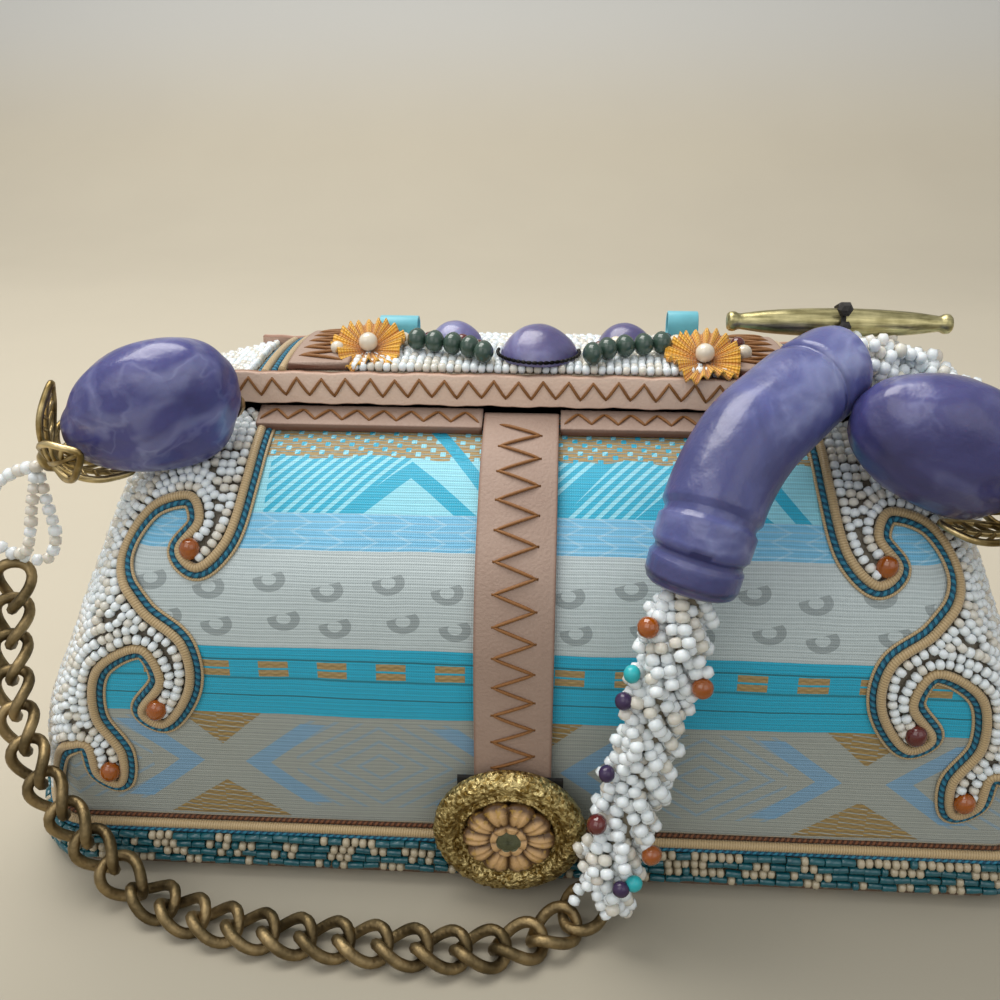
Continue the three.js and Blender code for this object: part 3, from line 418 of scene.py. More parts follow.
def skin_normal(q, z, step=0.5):
    q, z = np.asarray(q, float), np.asarray(z, float)
    low, high = np.clip(z - step, FOOT_Z, RIM_Z), np.clip(z + step, FOOT_Z, RIM_Z)
    return unit(np.cross(skin(q + 0.004, z) - skin(q - 0.004, z), skin(q, high) - skin(q, low)))


def q_of(x, z):
    """The skin's q at a place in the front view."""
    _, front, length = level(z)
    over = np.clip((np.abs(x) - front) / np.maximum(length - front, 0.1), 0, 1)
    return np.where(np.abs(x) <= front, x / (2 * front), np.sign(x) * (0.5 + np.arcsin(over) / math.pi))


def on_skin(x, z, lift=0.0):
    """Point and outward normal of the front at a place in the front view, raised by lift."""
    q = q_of(x, z)
    normal = skin_normal(q, z)
    return skin(q, z) + normal * np.asarray(lift)[..., None], normal


# Meshes


def store(mesh, **attributes):
    """Writes numbers or vectors on a mesh's points."""
    for key, values in attributes.items():
        values = np.array(values, np.float32)
        kind, field = ("FLOAT_VECTOR", "vector") if values.ndim == 2 else ("FLOAT", "value")
        mesh.attributes.new(key, kind, "POINT").data.foreach_set(field, values.ravel())


class Pile:
    """Vertices and faces gathered for one piece, with two attributes: run and shade."""

    def __init__(self):
        self.points, self.faces, self.run, self.shade = [], [], [], []
        self.count = 0

    def add(self, points, faces, run=None):
        points = np.asarray(points, float).reshape(-1, 3)
        self.points.append(points)
        self.run.append(np.zeros_like(points) if run is None else np.asarray(run, float).reshape(-1, 3))
        self.shade.append(np.full(len(points), 0.5))
        self.faces.extend([[i + self.count for i in face] for face in faces])
        self.count += len(points)

    def grid(self, points, run=None, wrap=(False, False), flip=False):
        """A sheet of points, rows by columns; wrap joins its last row or column to its first."""
        rows, columns = points.shape[:2]
        faces = []
        for i in range(rows if wrap[0] else rows - 1):
            for j in range(columns if wrap[1] else columns - 1):
                a, b = i * columns + j, i * columns + (j + 1) % columns
                c, d = ((i + 1) % rows) * columns + (j + 1) % columns, ((i + 1) % rows) * columns + j
                faces.append((a, d, c, b) if flip else (a, b, c, d))
        self.add(points, faces, run)

    def lathe(self, rings, run=None, flip=False):
        """Rings closed at both ends on their middles."""
        first, last = rings[0].mean(0), rings[-1].mean(0)
        columns = rings.shape[1]
        full = np.concatenate((np.repeat(first[None, None], columns, 1), rings,
                               np.repeat(last[None, None], columns, 1)))
        if run is not None:
            run = np.concatenate((run[:1], run, run[-1:]))
        self.grid(full, run, (False, True), flip)

    def tube(self, path, radius, sides=8, closed=False):
        """A round section along a path; run holds the way along it and the section's turn."""
        path = np.asarray(path, float)
        along, normal, binormal = frames(path, closed)
        angle = np.linspace(0, 2 * math.pi, sides, endpoint=False)
        radius = np.broadcast_to(np.asarray(radius, float), (len(path),))
        turn = angle[None, :, None]
        section = np.cos(turn) * normal[:, None] + np.sin(turn) * binormal[:, None]
        rings = path[:, None] + radius[:, None, None] * section
        way = way_along(path) * MM
        run = np.stack(np.broadcast_arrays(way[:, None], np.cos(angle)[None], np.sin(angle)[None]), axis=-1)
        if closed:
            self.grid(rings, run, (True, True))
        else:
            self.lathe(rings, run)

    def ribbon(self, path, out, width, thickness, lift=0.0, corner=0.35, steps=4):
        """A strap of rounded rectangular section: out is its outward side along the path."""
        path, out = np.asarray(path, float), unit(np.asarray(out, float))
        along = tangents(path)
        side = unit(np.cross(out, along))
        half, tall = width / 2, thickness
        section = []
        for cx, cz, start in ((half - corner, tall - corner, 0.0), (-half + corner, tall - corner, 0.5),
                              (-half + corner, corner, 1.0), (half - corner, corner, 1.5)):
            for k in range(steps):
                a = math.pi * (start + 0.5 * k / (steps - 1))
                section.append((cx + corner * math.cos(a), cz + corner * math.sin(a)))
        section = np.array(section)
        across, high = section[None, :, :1], section[None, :, 1:] + lift
        rings = path[:, None] + across * side[:, None] + high * out[:, None]
        way = way_along(path) * MM
        run = np.stack(np.broadcast_arrays(way[:, None], section[None, :, 0] / half,
                                           section[None, :, 1] / tall), axis=-1)
        self.lathe(rings, run, flip=True)

    def make(self, name, material, smooth=True):
        mesh = bpy.data.meshes.new(name)
        points = np.vstack(self.points) * MM
        mesh.from_pydata(points.tolist(), [], self.faces)
        mesh.update()
        store(mesh, run=np.vstack(self.run), shade=np.concatenate(self.shade))
        shell = bmesh.new()
        shell.from_mesh(mesh)
        bmesh.ops.remove_doubles(shell, verts=shell.verts, dist=1e-6)
        bmesh.ops.recalc_face_normals(shell, faces=shell.faces)
        shell.to_mesh(mesh)
        shell.free()
        if material:
            mesh.materials.append(material)
        if smooth:
            mesh.shade_smooth()
        piece = bpy.data.objects.new(name, mesh)
        bpy.context.scene.collection.objects.link(piece)
        return piece


def baked(piece):
    """The piece with its modifiers made part of a plain mesh."""
    bpy.context.view_layer.update()
    evaluated = piece.evaluated_get(bpy.context.evaluated_depsgraph_get())
    mesh = bpy.data.meshes.new_from_object(evaluated, preserve_all_data_layers=True,
                                           depsgraph=bpy.context.evaluated_depsgraph_get())
    piece.modifiers.clear()
    piece.data = mesh
    mesh.name = piece.name
    return piece


def keep(piece, slot, *nodes):
    """Fixes a finished piece to the bag in the place of its solids."""
    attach(piece, "root")
    if nodes:
        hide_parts(*nodes)
    return piece


def repaint(node, slot_finish):
    """Gives a solid that stays a finish."""
    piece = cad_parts[node]
    piece.data.materials.clear()
    piece.data.materials.append(slot_finish)


# Copies on points, by Geometry Nodes


def copies_tree():
    """A tree that puts copies of one small mesh on points that hold their turn and stretch."""
    name = "copies_on_points"
    if name in bpy.data.node_groups:
        return bpy.data.node_groups[name]
    tree = bpy.data.node_groups.new(name, "GeometryNodeTree")
    face = tree.interface
    face.new_socket("Geometry", in_out="INPUT", socket_type="NodeSocketGeometry")
    for label, kind in (("Copy", "NodeSocketObject"), ("Size", "NodeSocketFloat"),
                        ("Turn jitter", "NodeSocketFloat"), ("Seed", "NodeSocketInt"),
                        ("Finish", "NodeSocketMaterial")):
        face.new_socket(label, in_out="INPUT", socket_type=kind)
    face.new_socket("Geometry", in_out="OUTPUT", socket_type="NodeSocketGeometry")
    add, link = tree.nodes.new, tree.links.new
    start, end = add("NodeGroupInput"), add("NodeGroupOutput")

    def stored(key, kind):
        made = add("GeometryNodeInputNamedAttribute")
        made.data_type = kind
        made.inputs["Name"].default_value = key
        return made.outputs["Attribute"]

    jitter = add("FunctionNodeRandomValue")
    jitter.data_type = "FLOAT_VECTOR"
    jitter.inputs[0].default_value = (-1, -1, -1)
    scaled = add("ShaderNodeVectorMath")
    scaled.operation = "SCALE"
    turned = add("ShaderNodeVectorMath")
    euler = add("FunctionNodeEulerToRotation")
    sized = add("ShaderNodeVectorMath")
    sized.operation = "SCALE"
    info, place = add("GeometryNodeObjectInfo"), add("GeometryNodeInstanceOnPoints")
    real, paint = add("GeometryNodeRealizeInstances"), add("GeometryNodeSetMaterial")
    link(start.outputs["Seed"], jitter.inputs["Seed"])
    link(jitter.outputs[0], scaled.inputs[0])
    link(start.outputs["Turn jitter"], scaled.inputs["Scale"])
    link(stored("turn", "FLOAT_VECTOR"), turned.inputs[0])
    link(scaled.outputs[0], turned.inputs[1])
    link(turned.outputs[0], euler.inputs[0])
    link(stored("stretch", "FLOAT_VECTOR"), sized.inputs[0])
    link(start.outputs["Size"], sized.inputs["Scale"])
    link(start.outputs["Copy"], info.inputs["Object"])
    link(start.outputs["Geometry"], place.inputs["Points"])
    link(info.outputs["Geometry"], place.inputs["Instance"])
    link(euler.outputs[0], place.inputs["Rotation"])
    link(sized.outputs[0], place.inputs["Scale"])
    link(place.outputs[0], real.inputs[0])
    link(real.outputs[0], paint.inputs["Geometry"])
    link(start.outputs["Finish"], paint.inputs["Material"])
    link(paint.outputs[0], end.inputs[0])
    return tree


class Spots:
    """Points that copies go to: place in millimetres, turn as a matrix, stretch and shade."""

    def __init__(self):
        self.places, self.turns, self.stretches, self.shades = [], [], [], []

    def add(self, place, x_axis, z_axis, stretch=(1, 1, 1), shade=0.5):
        x_axis = unit(np.asarray(x_axis, float))
        z_axis = unit(np.asarray(z_axis, float) - x_axis * np.dot(z_axis, x_axis))
        y_axis = np.cross(z_axis, x_axis)
        turn = Matrix(np.column_stack((x_axis, y_axis, z_axis)).tolist()).to_euler("XYZ")
        self.places.append(place)
        self.turns.append(tuple(turn))
        self.stretches.append(stretch)
        self.shades.append(shade)

    def make(self, name, copy, material, jitter=0.0, seed=1):
        mesh = bpy.data.meshes.new(name)
        mesh.from_pydata((np.array(self.places, float) * MM).tolist(), [], [])
        store(mesh, turn=self.turns, stretch=self.stretches, shade=self.shades)
        piece = bpy.data.objects.new(name, mesh)
        bpy.context.scene.collection.objects.link(piece)
        tree = copies_tree()
        modifier = piece.modifiers.new("Copies", "NODES")
        modifier.node_group = tree
        inputs = {"Copy": copy, "Size": 1.0, "Turn jitter": jitter, "Seed": seed, "Finish": material}
        for item in tree.interface.items_tree:
            if item.item_type == "SOCKET" and item.in_out == "INPUT" and item.name in inputs:
                modifier[item.identifier] = inputs[item.name]
        baked(piece)
        for key in ("turn", "stretch"):
            if key in piece.data.attributes:
                piece.data.attributes.remove(piece.data.attributes[key])
        if not piece.data.polygons:
            raise RuntimeError(f"{name} has no copies")
        return piece


TEMPLATES = {}


def template(name, fill):
    """A small mesh that is copied and never shown itself."""
    if name not in TEMPLATES:
        pile = Pile()
        fill(pile)
        piece = pile.make(name, None)
        piece.data.attributes.remove(piece.data.attributes["shade"])
        bpy.context.scene.collection.objects.unlink(piece)
        piece.use_fake_user = True
        TEMPLATES[name] = piece
    return TEMPLATES[name]


def rings_along_x(rows, sides):
    """Rings round the x axis from rows of place and radius."""
    angle = np.linspace(0, 2 * math.pi, sides, endpoint=False)
    return np.array([np.stack((np.full(sides, x), r * np.cos(angle), r * np.sin(angle)), axis=-1)
                     for x, r in rows])


def field_bead(pile):
    """A glass bead 1 mm across with its hole along x."""
    pile.lathe(rings_along_x(((-0.37, 0.27), (-0.21, 0.49), (0.21, 0.49), (0.37, 0.27)), 8))


def bugle_bead(pile):
    """A glass tube 1 mm long, along x."""
    rows = ((-0.5, 0.2), (-0.5, 0.28), (-0.46, 0.33), (0.46, 0.33), (0.5, 0.28), (0.5, 0.2))
    pile.lathe(rings_along_x(rows, 7))


def stitch(pile):
    """A thread stitch 1 mm long along x that dips at both ends."""
    x = np.linspace(-0.5, 0.5, 9)
    path = np.column_stack((x, np.zeros(9), 0.16 * (1 - (2 * x) ** 4) - 0.08))
    pile.tube(path, 0.11 * (1 - 0.35 * np.abs(2 * x) ** 4), 6)


def ball(pile):
    """A ball 1 mm across."""
    a = np.linspace(0, math.pi, 9)[1:-1]
    pile.lathe(rings_along_x(np.column_stack((-0.5 * np.cos(a), 0.5 * np.sin(a))), 14))


def curb_link(pile):
    """A chain link 14 mm long along x, twisted so that a chain of them lies flat."""
    long, wide, wire, twist, square = 14.0, 11.4, 2.6, 0.9, 0.85
    a, b = (long - wire) / 2, (wide - wire) / 2
    t = np.linspace(0, 2 * math.pi, 36, endpoint=False)
    x = a * np.sign(np.cos(t)) * np.abs(np.cos(t)) ** square
    y = b * np.sign(np.sin(t)) * np.abs(np.sin(t)) ** square
    turn = twist * x / a
    path = np.column_stack((x, y * np.cos(turn), y * np.sin(turn)))
    pile.tube(even(np.vstack((path, path[:1])), 33)[:-1], wire / 2, 8, closed=True)


# Finishes


def paint_beads(first, second, share):
    def paint(place):
        shade = attribute(place, "shade", 2)
        tint = place.noise(900, 1)
        colour = shade.soft(share - 0.05, share + 0.05).mix(first, second)
        return {"Base Color": (tint * 0.3).mix(colour, "#FFFFFF"), "Roughness": 0.22}
    return paint


def glass_beads():
    return finish("pearl_glass", paint_beads(tone("white_glass"), tone("cream_glass"), 0.68),
                  Coat_Weight=0.35, Coat_Roughness=0.12, Subsurface_Weight=0.08)


def paint_band(place):
    shade = attribute(place, "shade", 2)
    teal = place.noise(500, 2).mix("#0B4350", tone("teal_glass"))
    return {"Base Color": (shade > 0.5).mix(teal, "#B4A88E"), "Roughness": 0.25}


def paint_cord(light, dark, pitch=1.3, relief=0.0003):
    def paint(place):
        way, cosine, sine = attribute(place, "run").parts()
        angle = way * (2000 * math.pi / pitch)
        twist = angle.sine() * cosine + angle.maths("COSINE") * sine
        ridge = twist.soft(-0.9, 0.3)
        fuzz = place.noise(2500, 2)
        # The grooves between the twist's strands are painted towards the dark colour as shade; fuzz is random
        # tone.
        return {"Base Color": (ridge * 0.75 + fuzz * 0.25).mix(dark, light),
                "Normal": bump(ridge + fuzz * 0.3, relief)}
    return paint


def gold_cord():
    return finish("gold_cord", paint_cord(tone("gold_cord"), "#AB9067", 0.6, 0.00009), Roughness=0.36,
                  Sheen_Weight=0.25)


def blue_braid():
    return finish("blue_braid", paint_cord(tone("braid"), "#0F3F5A", 1.6), Roughness=0.7)


def paint_leather(top, edge, dark):
    def paint(place):
        _, across, high = attribute(place, "run").parts()
        # Sides and underside are painted towards the edge colour: the leather's own darker cut edge, and
        # painted shade low on the strap beside the cloth.
        rim = abs(across).soft(0.9, 1.0)
        under = 1 - high.soft(0.25, 0.8)
        grain = place.noise(1400, 4)
        blot = place.noise(90, 3)
        colour = (blot * 0.5 + grain * 0.25).mix(top, dark)
        wear_and_shade = (rim * 0.55 + under * 0.7).maths("MINIMUM", 1.0)
        return {"Base Color": wear_and_shade.mix(colour, edge), "Roughness": grain * 0.25 + 0.5,
                "Normal": bump(grain, 0.00018)}
    return paint


def tan_leather():
    return finish("tan_leather", paint_leather(tone("leather"), "#75503F", "#8C7263"))


# A lighter copy of the tan leather for the lid strips, painted lighter to stand for the light falling on them.
def lid_leather():
    return finish("lid_leather", paint_leather("#EAD2BF", "#94705C", "#DDBBA5"))


def brown_leather():
    return finish("brown_leather", paint_leather("#8C5C44", "#4A2A1E", "#6E4433"))


def thread():
    return finish("thread", lambda place: {"Base Color": place.noise(2600, 2).mix(
        "#6E4219", tone("thread"))}, Roughness=0.6)


def paint_resin(deep, body, veins):
    def paint(place):
        bent = place.node("ShaderNodeVectorMath", {"operation": "MULTIPLY_ADD"},
                          {0: place.noise(26, 3, 1), 1: (0.05, 0.05, 0.05), 2: place})
        cloud = bent.noise(26, 5)
        vein = abs(bent.noise(34, 3) - 0.5)
        fine = abs(bent.noise(70, 3) - 0.5)
        streak = (1 - vein.soft(0.0, 0.075)) * cloud.soft(0.44, 0.64)
        thin = (1 - fine.soft(0.0, 0.04)) * cloud.soft(0.48, 0.66) * 0.35
        wisps = ((streak * 0.62 + thin) * veins).maths("MINIMUM", 1.0)
        return {"Base Color": wisps.mix(cloud.soft(0.3, 0.7).mix(deep, body), "#AAB2D8"),
                "Roughness": place.noise(60, 3) * 0.25 + 0.24, "Normal": bump(place.noise(110, 4), 0.0009)}
    return paint


def resin(name="stone"):
    deep, body, veins = {"left": ("#2D2D5C", "#474988", 0.4), "right": ("#32315F", "#4E4F8A", 0.65),
                         "tube": ("#3B3E6E", "#5D64A2", 1.1), "stone": ("#4A4670", "#6E6A9C", 0.9)}[name]
    return finish(f"{name}_resin", paint_resin(deep, body, veins), Coat_Weight=0.4,
                  Coat_Roughness=0.13, Subsurface_Weight=0.06)


def paint_metal(light, dark, low=0.3, grain=700, height=0.00012):
    def paint(place):
        blot = place.noise(140, 4)
        fine = place.noise(grain, 4)
        return {"Base Color": blot.soft(0.3, 0.7).mix(dark, light), "Roughness": fine * 0.3 + low,
                "Normal": bump(fine, height)}
    return paint


def antique_gold():
    return finish("antique_gold", paint_metal("#DCC794", "#7D683C", 0.2), Metallic=1.0)


def chain_brass():
    return finish("chain_brass", paint_metal(tone("brass"), "#5E5138", 0.34, 900, 0.00022),
                  Metallic=1.0)


def dark_metal():
    return finish("dark_metal", paint_metal("#3A3936", "#171614"), Metallic=1.0)


def paint_olive(place):
    x, y, z = place.parts()
    brushed = place.node("ShaderNodeCombineXYZ", None, {0: x * 0.06, 1: y, 2: z}).noise(1500, 3)
    spots = place.noise(260, 4)
    colour = (brushed * 0.6 + spots * 0.5).soft(0.35, 0.75).mix("#8A8258", "#DAD09C")
    return {"Base Color": colour, "Roughness": brushed * 0.3 + 0.2, "Normal": bump(brushed, 0.00008)}


def plain(name, colour, roughness, amount=0.15, **shader):
    """A stone, thread or lacquer of one colour with slight depth."""
    colour = as_colour(colour)
    deep = tuple(c * 0.45 for c in colour[:3]) + (1.0,)
    return finish(name, lambda place: {"Base Color": (place.noise(420, 3) * amount * 2).mix(colour, deep)},
                  Roughness=roughness, **shader)


def paint_brocade(place):
    """Woven stripes, chevrons, dashes and triangles over the cloth's own way across and up."""
    across, up, ground = attribute(place, "run").parts()
    sway = place.noise(60, 2) - 0.5
    u = across * 1000 + sway * 0.6
    v = up * 1000 + sway * 0.9
    turquoise, aqua = tone("silk"), "#98E2F4"
    blue, beige = "#78C4EA", tone("ground")
    cream, tan, grey = "#C5D2D3", tone("figures"), "#98A3A4"
    # the striped band with its large chevron
    c = u.wrapped(65.0, -27.7)
    roof = v + abs(c) * 0.9
    stroke = roof.within(99.3, 103.8)
    hatch = ((u - v * 0.95).wrapped(2.9) < 0.15) * (roof > 103.8) * (c < 0)
    slant = (c + v * 0.72).within(84.6, 88.2) * (c > 0)
    lean = (u - v * 0.84).within(-74.0, -69.5)
    colour = (stroke + hatch + slant + lean).maths("MINIMUM", 1.0).mix(aqua, turquoise)
    # tan flecks above it
    row = (v / 1.3).maths("FLOOR")
    fleck = (u + row * 2.3).wrapped(5.6).within(-2.2, 2.2) * (v.wrapped(1.3) > -0.5)
    fleck_area = v > (104.6 + (place.noise(130, 1) - 0.5) * 3)
    colour = (fleck * fleck_area * (1 - slant)).mix(colour, tan)
    # light blue with fine lines
    lines = (v.wrapped(1.9) > 0.55) * 0.5 + ((u * 1.2 + abs(v.wrapped(4.4)) * 2.2).wrapped(9.0) > 3.2) * 0.35
    colour = (v < 90.2).mix(colour, lines.mix(blue, "#B9E0F2"))
    # cream with grey crescents
    marks = 0.0
    for middle, height in ((-31.2, 74.7), (-18.3, 72.8), (-42.8, 64.7), (-27.8, 66.2)):
        side, rise = u.wrapped(26.3, middle) / 3.6, (v - height) / 2.7
        reach = side * side + rise * rise
        marks = marks + reach.within(0.2, 1.0) * ((rise - side * 0.35) < 0.42)
    colour = (v < 81.6).mix(colour, (marks * 0.9).mix(cream, grey))
    # turquoise with pairs of tan dashes
    dash = (abs(u.wrapped(13.15, 8.8)) < 3.3) * (abs(abs(v - 54.2) - 1.1) < 0.85)
    thin = (abs(abs(v - 54.2) - 2.4) < 0.22) + (abs(v - 47.2) < 0.2)
    band = thin.mix(turquoise, "#0F7F92")
    colour = (v < 59.6).mix(colour, dash.mix(band, tan))
    # beige with tan triangles and light blue arrows
    c = u.wrapped(73.0, 2.5)
    middle = abs(v - 28.8)
    arrow = (abs(c) - middle * 1.25).within(4.8, 10.8) * (middle < 11)
    feather = ((abs(c) - middle * 1.5).wrapped(5.6) < -1.5) * (abs(c) > 17) * (middle < 12)
    triangle = (abs(c) < ((v - 33.6) * 1.12)) + (abs(c) < ((23.6 - v) * 1.42)) * (v > 13.4)
    combed = ((v + u.wrapped(6.2) * 0.12).wrapped(1.5) > -0.45)
    low = (arrow * 0.9 + feather * 0.5).maths("MINIMUM", 1.0).mix(beige, "#7FACCE")
    low = (triangle.maths("MINIMUM", 1.0) * combed).mix(low, "#A4874C")
    colour = (v < 42.3).mix(colour, (v < 12.8).mix(low, "#C9BC9F"))
    # threads: the dips between them are painted darker as shade, over a slight even darkening
    weft = (v * (2 * math.pi / 0.62)).sine()
    warp = (u * (2 * math.pi / 0.5)).sine()
    raised = fleck * fleck_area + (v < 59.6) * (v > 42.3) * dash + (v < 42.3) * triangle
    raised = raised.maths("MINIMUM", 1.0)
    cloth = weft * 0.5 + warp * 0.35 + weft * warp * 0.4
    coarse = (v * (2 * math.pi / 1.15) + (u * 2.2).sine()).sine()
    height = (cloth * (1 - raised) + coarse * raised * 1.6) * 0.1 + raised * 0.25
    ribs = (v * (2 * math.pi / 1.05) + place.noise(90, 1) * 3).sine()
    shade = (0.4 + weft * 0.22 + warp * 0.12 + ribs * 0.3 + place.noise(700, 2) * 0.35) * 0.3
    colour = shade.mix(colour, "#2C464E")
    # Under the bead fields the cloth is painted dark brown, standing for the shade in the gaps between the
    # beads.
    colour = (ground > 0.25).mix(colour, "#6F685A")
    return {"Base Color": (ground > 0.75).mix(colour, "#3A3028"),
            "Roughness": 0.42 + raised * 0.15 + (v < 42.3) * 0.08,
            "Normal": bump(height + place.noise(35, 2) * 3.0, 0.00045)}


def brocade():
    return finish("brocade", paint_brocade, Sheen_Weight=0.35, Sheen_Roughness=0.4)


def paint_glitter(place):
    spark = place.node("ShaderNodeTexVoronoi", None, {"Vector": place, "Scale": 1300.0}, 1)
    near = place.node("ShaderNodeTexVoronoi", None, {"Vector": place, "Scale": 1300.0}, 0)
    grain = spark.node("ShaderNodeRGBToBW", None, {0: spark})
    tint = (place.noise(420, 4) * 0.6 + grain * 0.5).soft(0.35, 0.75)
    return {"Base Color": tint.mix("#806733", "#DCC88C"),
            "Roughness": 0.22 + near * 0.25, "Normal": bump(grain + place.noise(900, 3), 0.0009)}


def glitter():
    return finish("button_glitter", paint_glitter, Metallic=1.0)


def paint_rosette(place):
    out, high, _ = attribute(place, "run").parts()
    wear_and_shade = place.noise(330, 4)
    # Darker towards the low parts of the carving: painted shade in its hollows.
    base = (high + (wear_and_shade - 0.5) * 0.5).soft(0.3, 0.85).mix("#5A3F22", "#CDA673")
    gilt = place.noise(900, 2).soft(0.55, 0.65) * out.soft(0.3, 0.9)
    base = (gilt * 0.6).mix(base, "#B8923C")
    return {"Base Color": (out < 0.27).mix(base, "#585B40"), "Roughness": 0.3 + wear_and_shade * 0.3,
            "Normal": bump(wear_and_shade, 0.0003)}


def paint_petals(place):
    way, out, _ = attribute(place, "run").parts()
    weave = (way * 150).sine() * 0.5 + (out * 70).sine() * 0.5
    pleat_shade = (way * 22).maths("COSINE")
    colour = out.soft(0.2, 0.8).mix("#D9741A", tone("petals"))
    # The pleats' valleys are painted darker as shade.
    colour = pleat_shade.soft(-0.8, 0.3).mix("#C97A16", colour)
    return {"Base Color": (weave * 0.2 + 0.15).mix(colour, "#FFDC78"), "Normal": bump(weave, 0.0002)}


def paint_floor(place):
    x, y, z = place.parts()
    # A painted shadow on the floor in front of the bag, heavier towards the right.
    near = (-y).soft(-0.02, 0.16) * (1 - z.soft(0.0, 0.05))
    shade = near * ((x + 0.2).soft(-0.05, 0.4) * 0.45 + 0.42)
    colour = place.noise(9, 3).mix("#BDB5A3", tone("floor"))
    colour = z.soft(0.07, 0.26).mix(colour, "#C3C3BF")
    return {"Base Color": shade.mix(colour, "#67655A")}


# The pieces


QUARTERS = [(1, 1), (-1, 1), (1, -1), (-1, -1)]
SIDE_NAMES = {(1, 1): "front_right", (-1, 1): "front_left", (1, -1): "back_right", (-1, -1): "back_left"}


def mirrored(points, sides):
    """Points of the front right, carried to another quarter of the bag."""
    return np.asarray(points, float) * (sides[0], sides[1], 1.0)


def belt(z, lift, count):
    """A closed path round the bag at one height, with its outward normals."""
    q = np.linspace(-1, 1, 900)
    front = skin(q, np.full(900, z)) + skin_normal(q, np.full(900, z)) * lift
    ring = np.vstack((front, front[::-1][1:-1] * (1, -1, 1), front[:1]))
    points = even(ring, count + 1)[:-1]
    return points, unit(np.cross(tangents(points, True), UP))


def scroll_line(count=420):
    """The scroll's centre line on the cloth, with normals."""
    flat = spline(np.array(SCROLL) * SCROLL_SPAN, count)
    return on_skin(flat[:, 0], flat[:, 1], 0.0)


def in_field(x, z):
    """Which places of the front view are beaded, right half."""
    flat = spline(np.array(SCROLL) * SCROLL_SPAN, 300)
    corner = np.vstack(((64.2, 110.0), flat, (115.0, 5.0), (160.0, 5.0), (160.0, 110.0)))
    x, z = np.asarray(x, float), np.asarray(z, float)
    inside = np.zeros(x.shape, bool)
    for (x0, z0), (x1, z1) in zip(corner, np.roll(corner, -1, 0)):
        if z0 == z1:
            continue
        crosses = ((z0 > z) != (z1 > z)) & (x < (x1 - x0) * (z - z0) / (z1 - z0) + x0)
        inside ^= crosses
    return inside


def make_body():
    rows, columns = 84, 230
    z = np.interp(np.linspace(0, PROFILE_ARC[-1], rows), PROFILE_ARC, PROFILE_Z)
    q = np.linspace(-1, 1, columns)
    qq, zz = np.meshgrid(q, z)
    front = skin(qq, zz)
    steps = np.linalg.norm(np.diff(front, axis=1), axis=2)
    way = np.concatenate((np.zeros((rows, 1)), np.cumsum(steps, axis=1)), axis=1)
    way = way - (way[:, columns // 2 - 1:columns // 2] + way[:, columns // 2:columns // 2 + 1]) / 2
    up = np.interp(zz, PROFILE_Z, PROFILE_ARC)
    # The third run value is 0.5 on the bead fields, where the brocade paints the shade between beads.
    mask = np.where(in_field(np.abs(front[..., 0]), zz), 0.5, 0.0)
    run = np.stack((way * MM, up * MM, mask), axis=-1)
    sag = 0.25 * np.sin(front[..., 0] * 0.09 + 1.3) * np.sin(zz * 0.11) * np.exp(-((zz - 60) / 40) ** 2)
    front = front + skin_normal(qq, zz) * (sag - 0.1)[..., None]
    ring = np.concatenate((front, front[:, ::-1][:, 1:-1] * (1, -1, 1)), axis=1)
    run = np.concatenate((run, run[:, ::-1][:, 1:-1]), axis=1)
    inner_z = np.linspace(RIM_Z, 5.0, 22)
    iq, iz = np.meshgrid(q, inner_z)
    wall = skin(iq, iz)
    inward = skin_normal(iq, iz) * (1, 1, 0)
    wall = wall - unit(inward) * 3.0
    wall = np.concatenate((wall, wall[:, ::-1][:, 1:-1] * (1, -1, 1)), axis=1)
    lining = np.zeros_like(wall)
    lining[..., 2] = 1.0
    pile = Pile()
    pile.lathe(np.concatenate((ring, wall)), np.concatenate((run, lining)))
    keep(pile.make("brocade_body", brocade()), "brocade", "cloth_body")


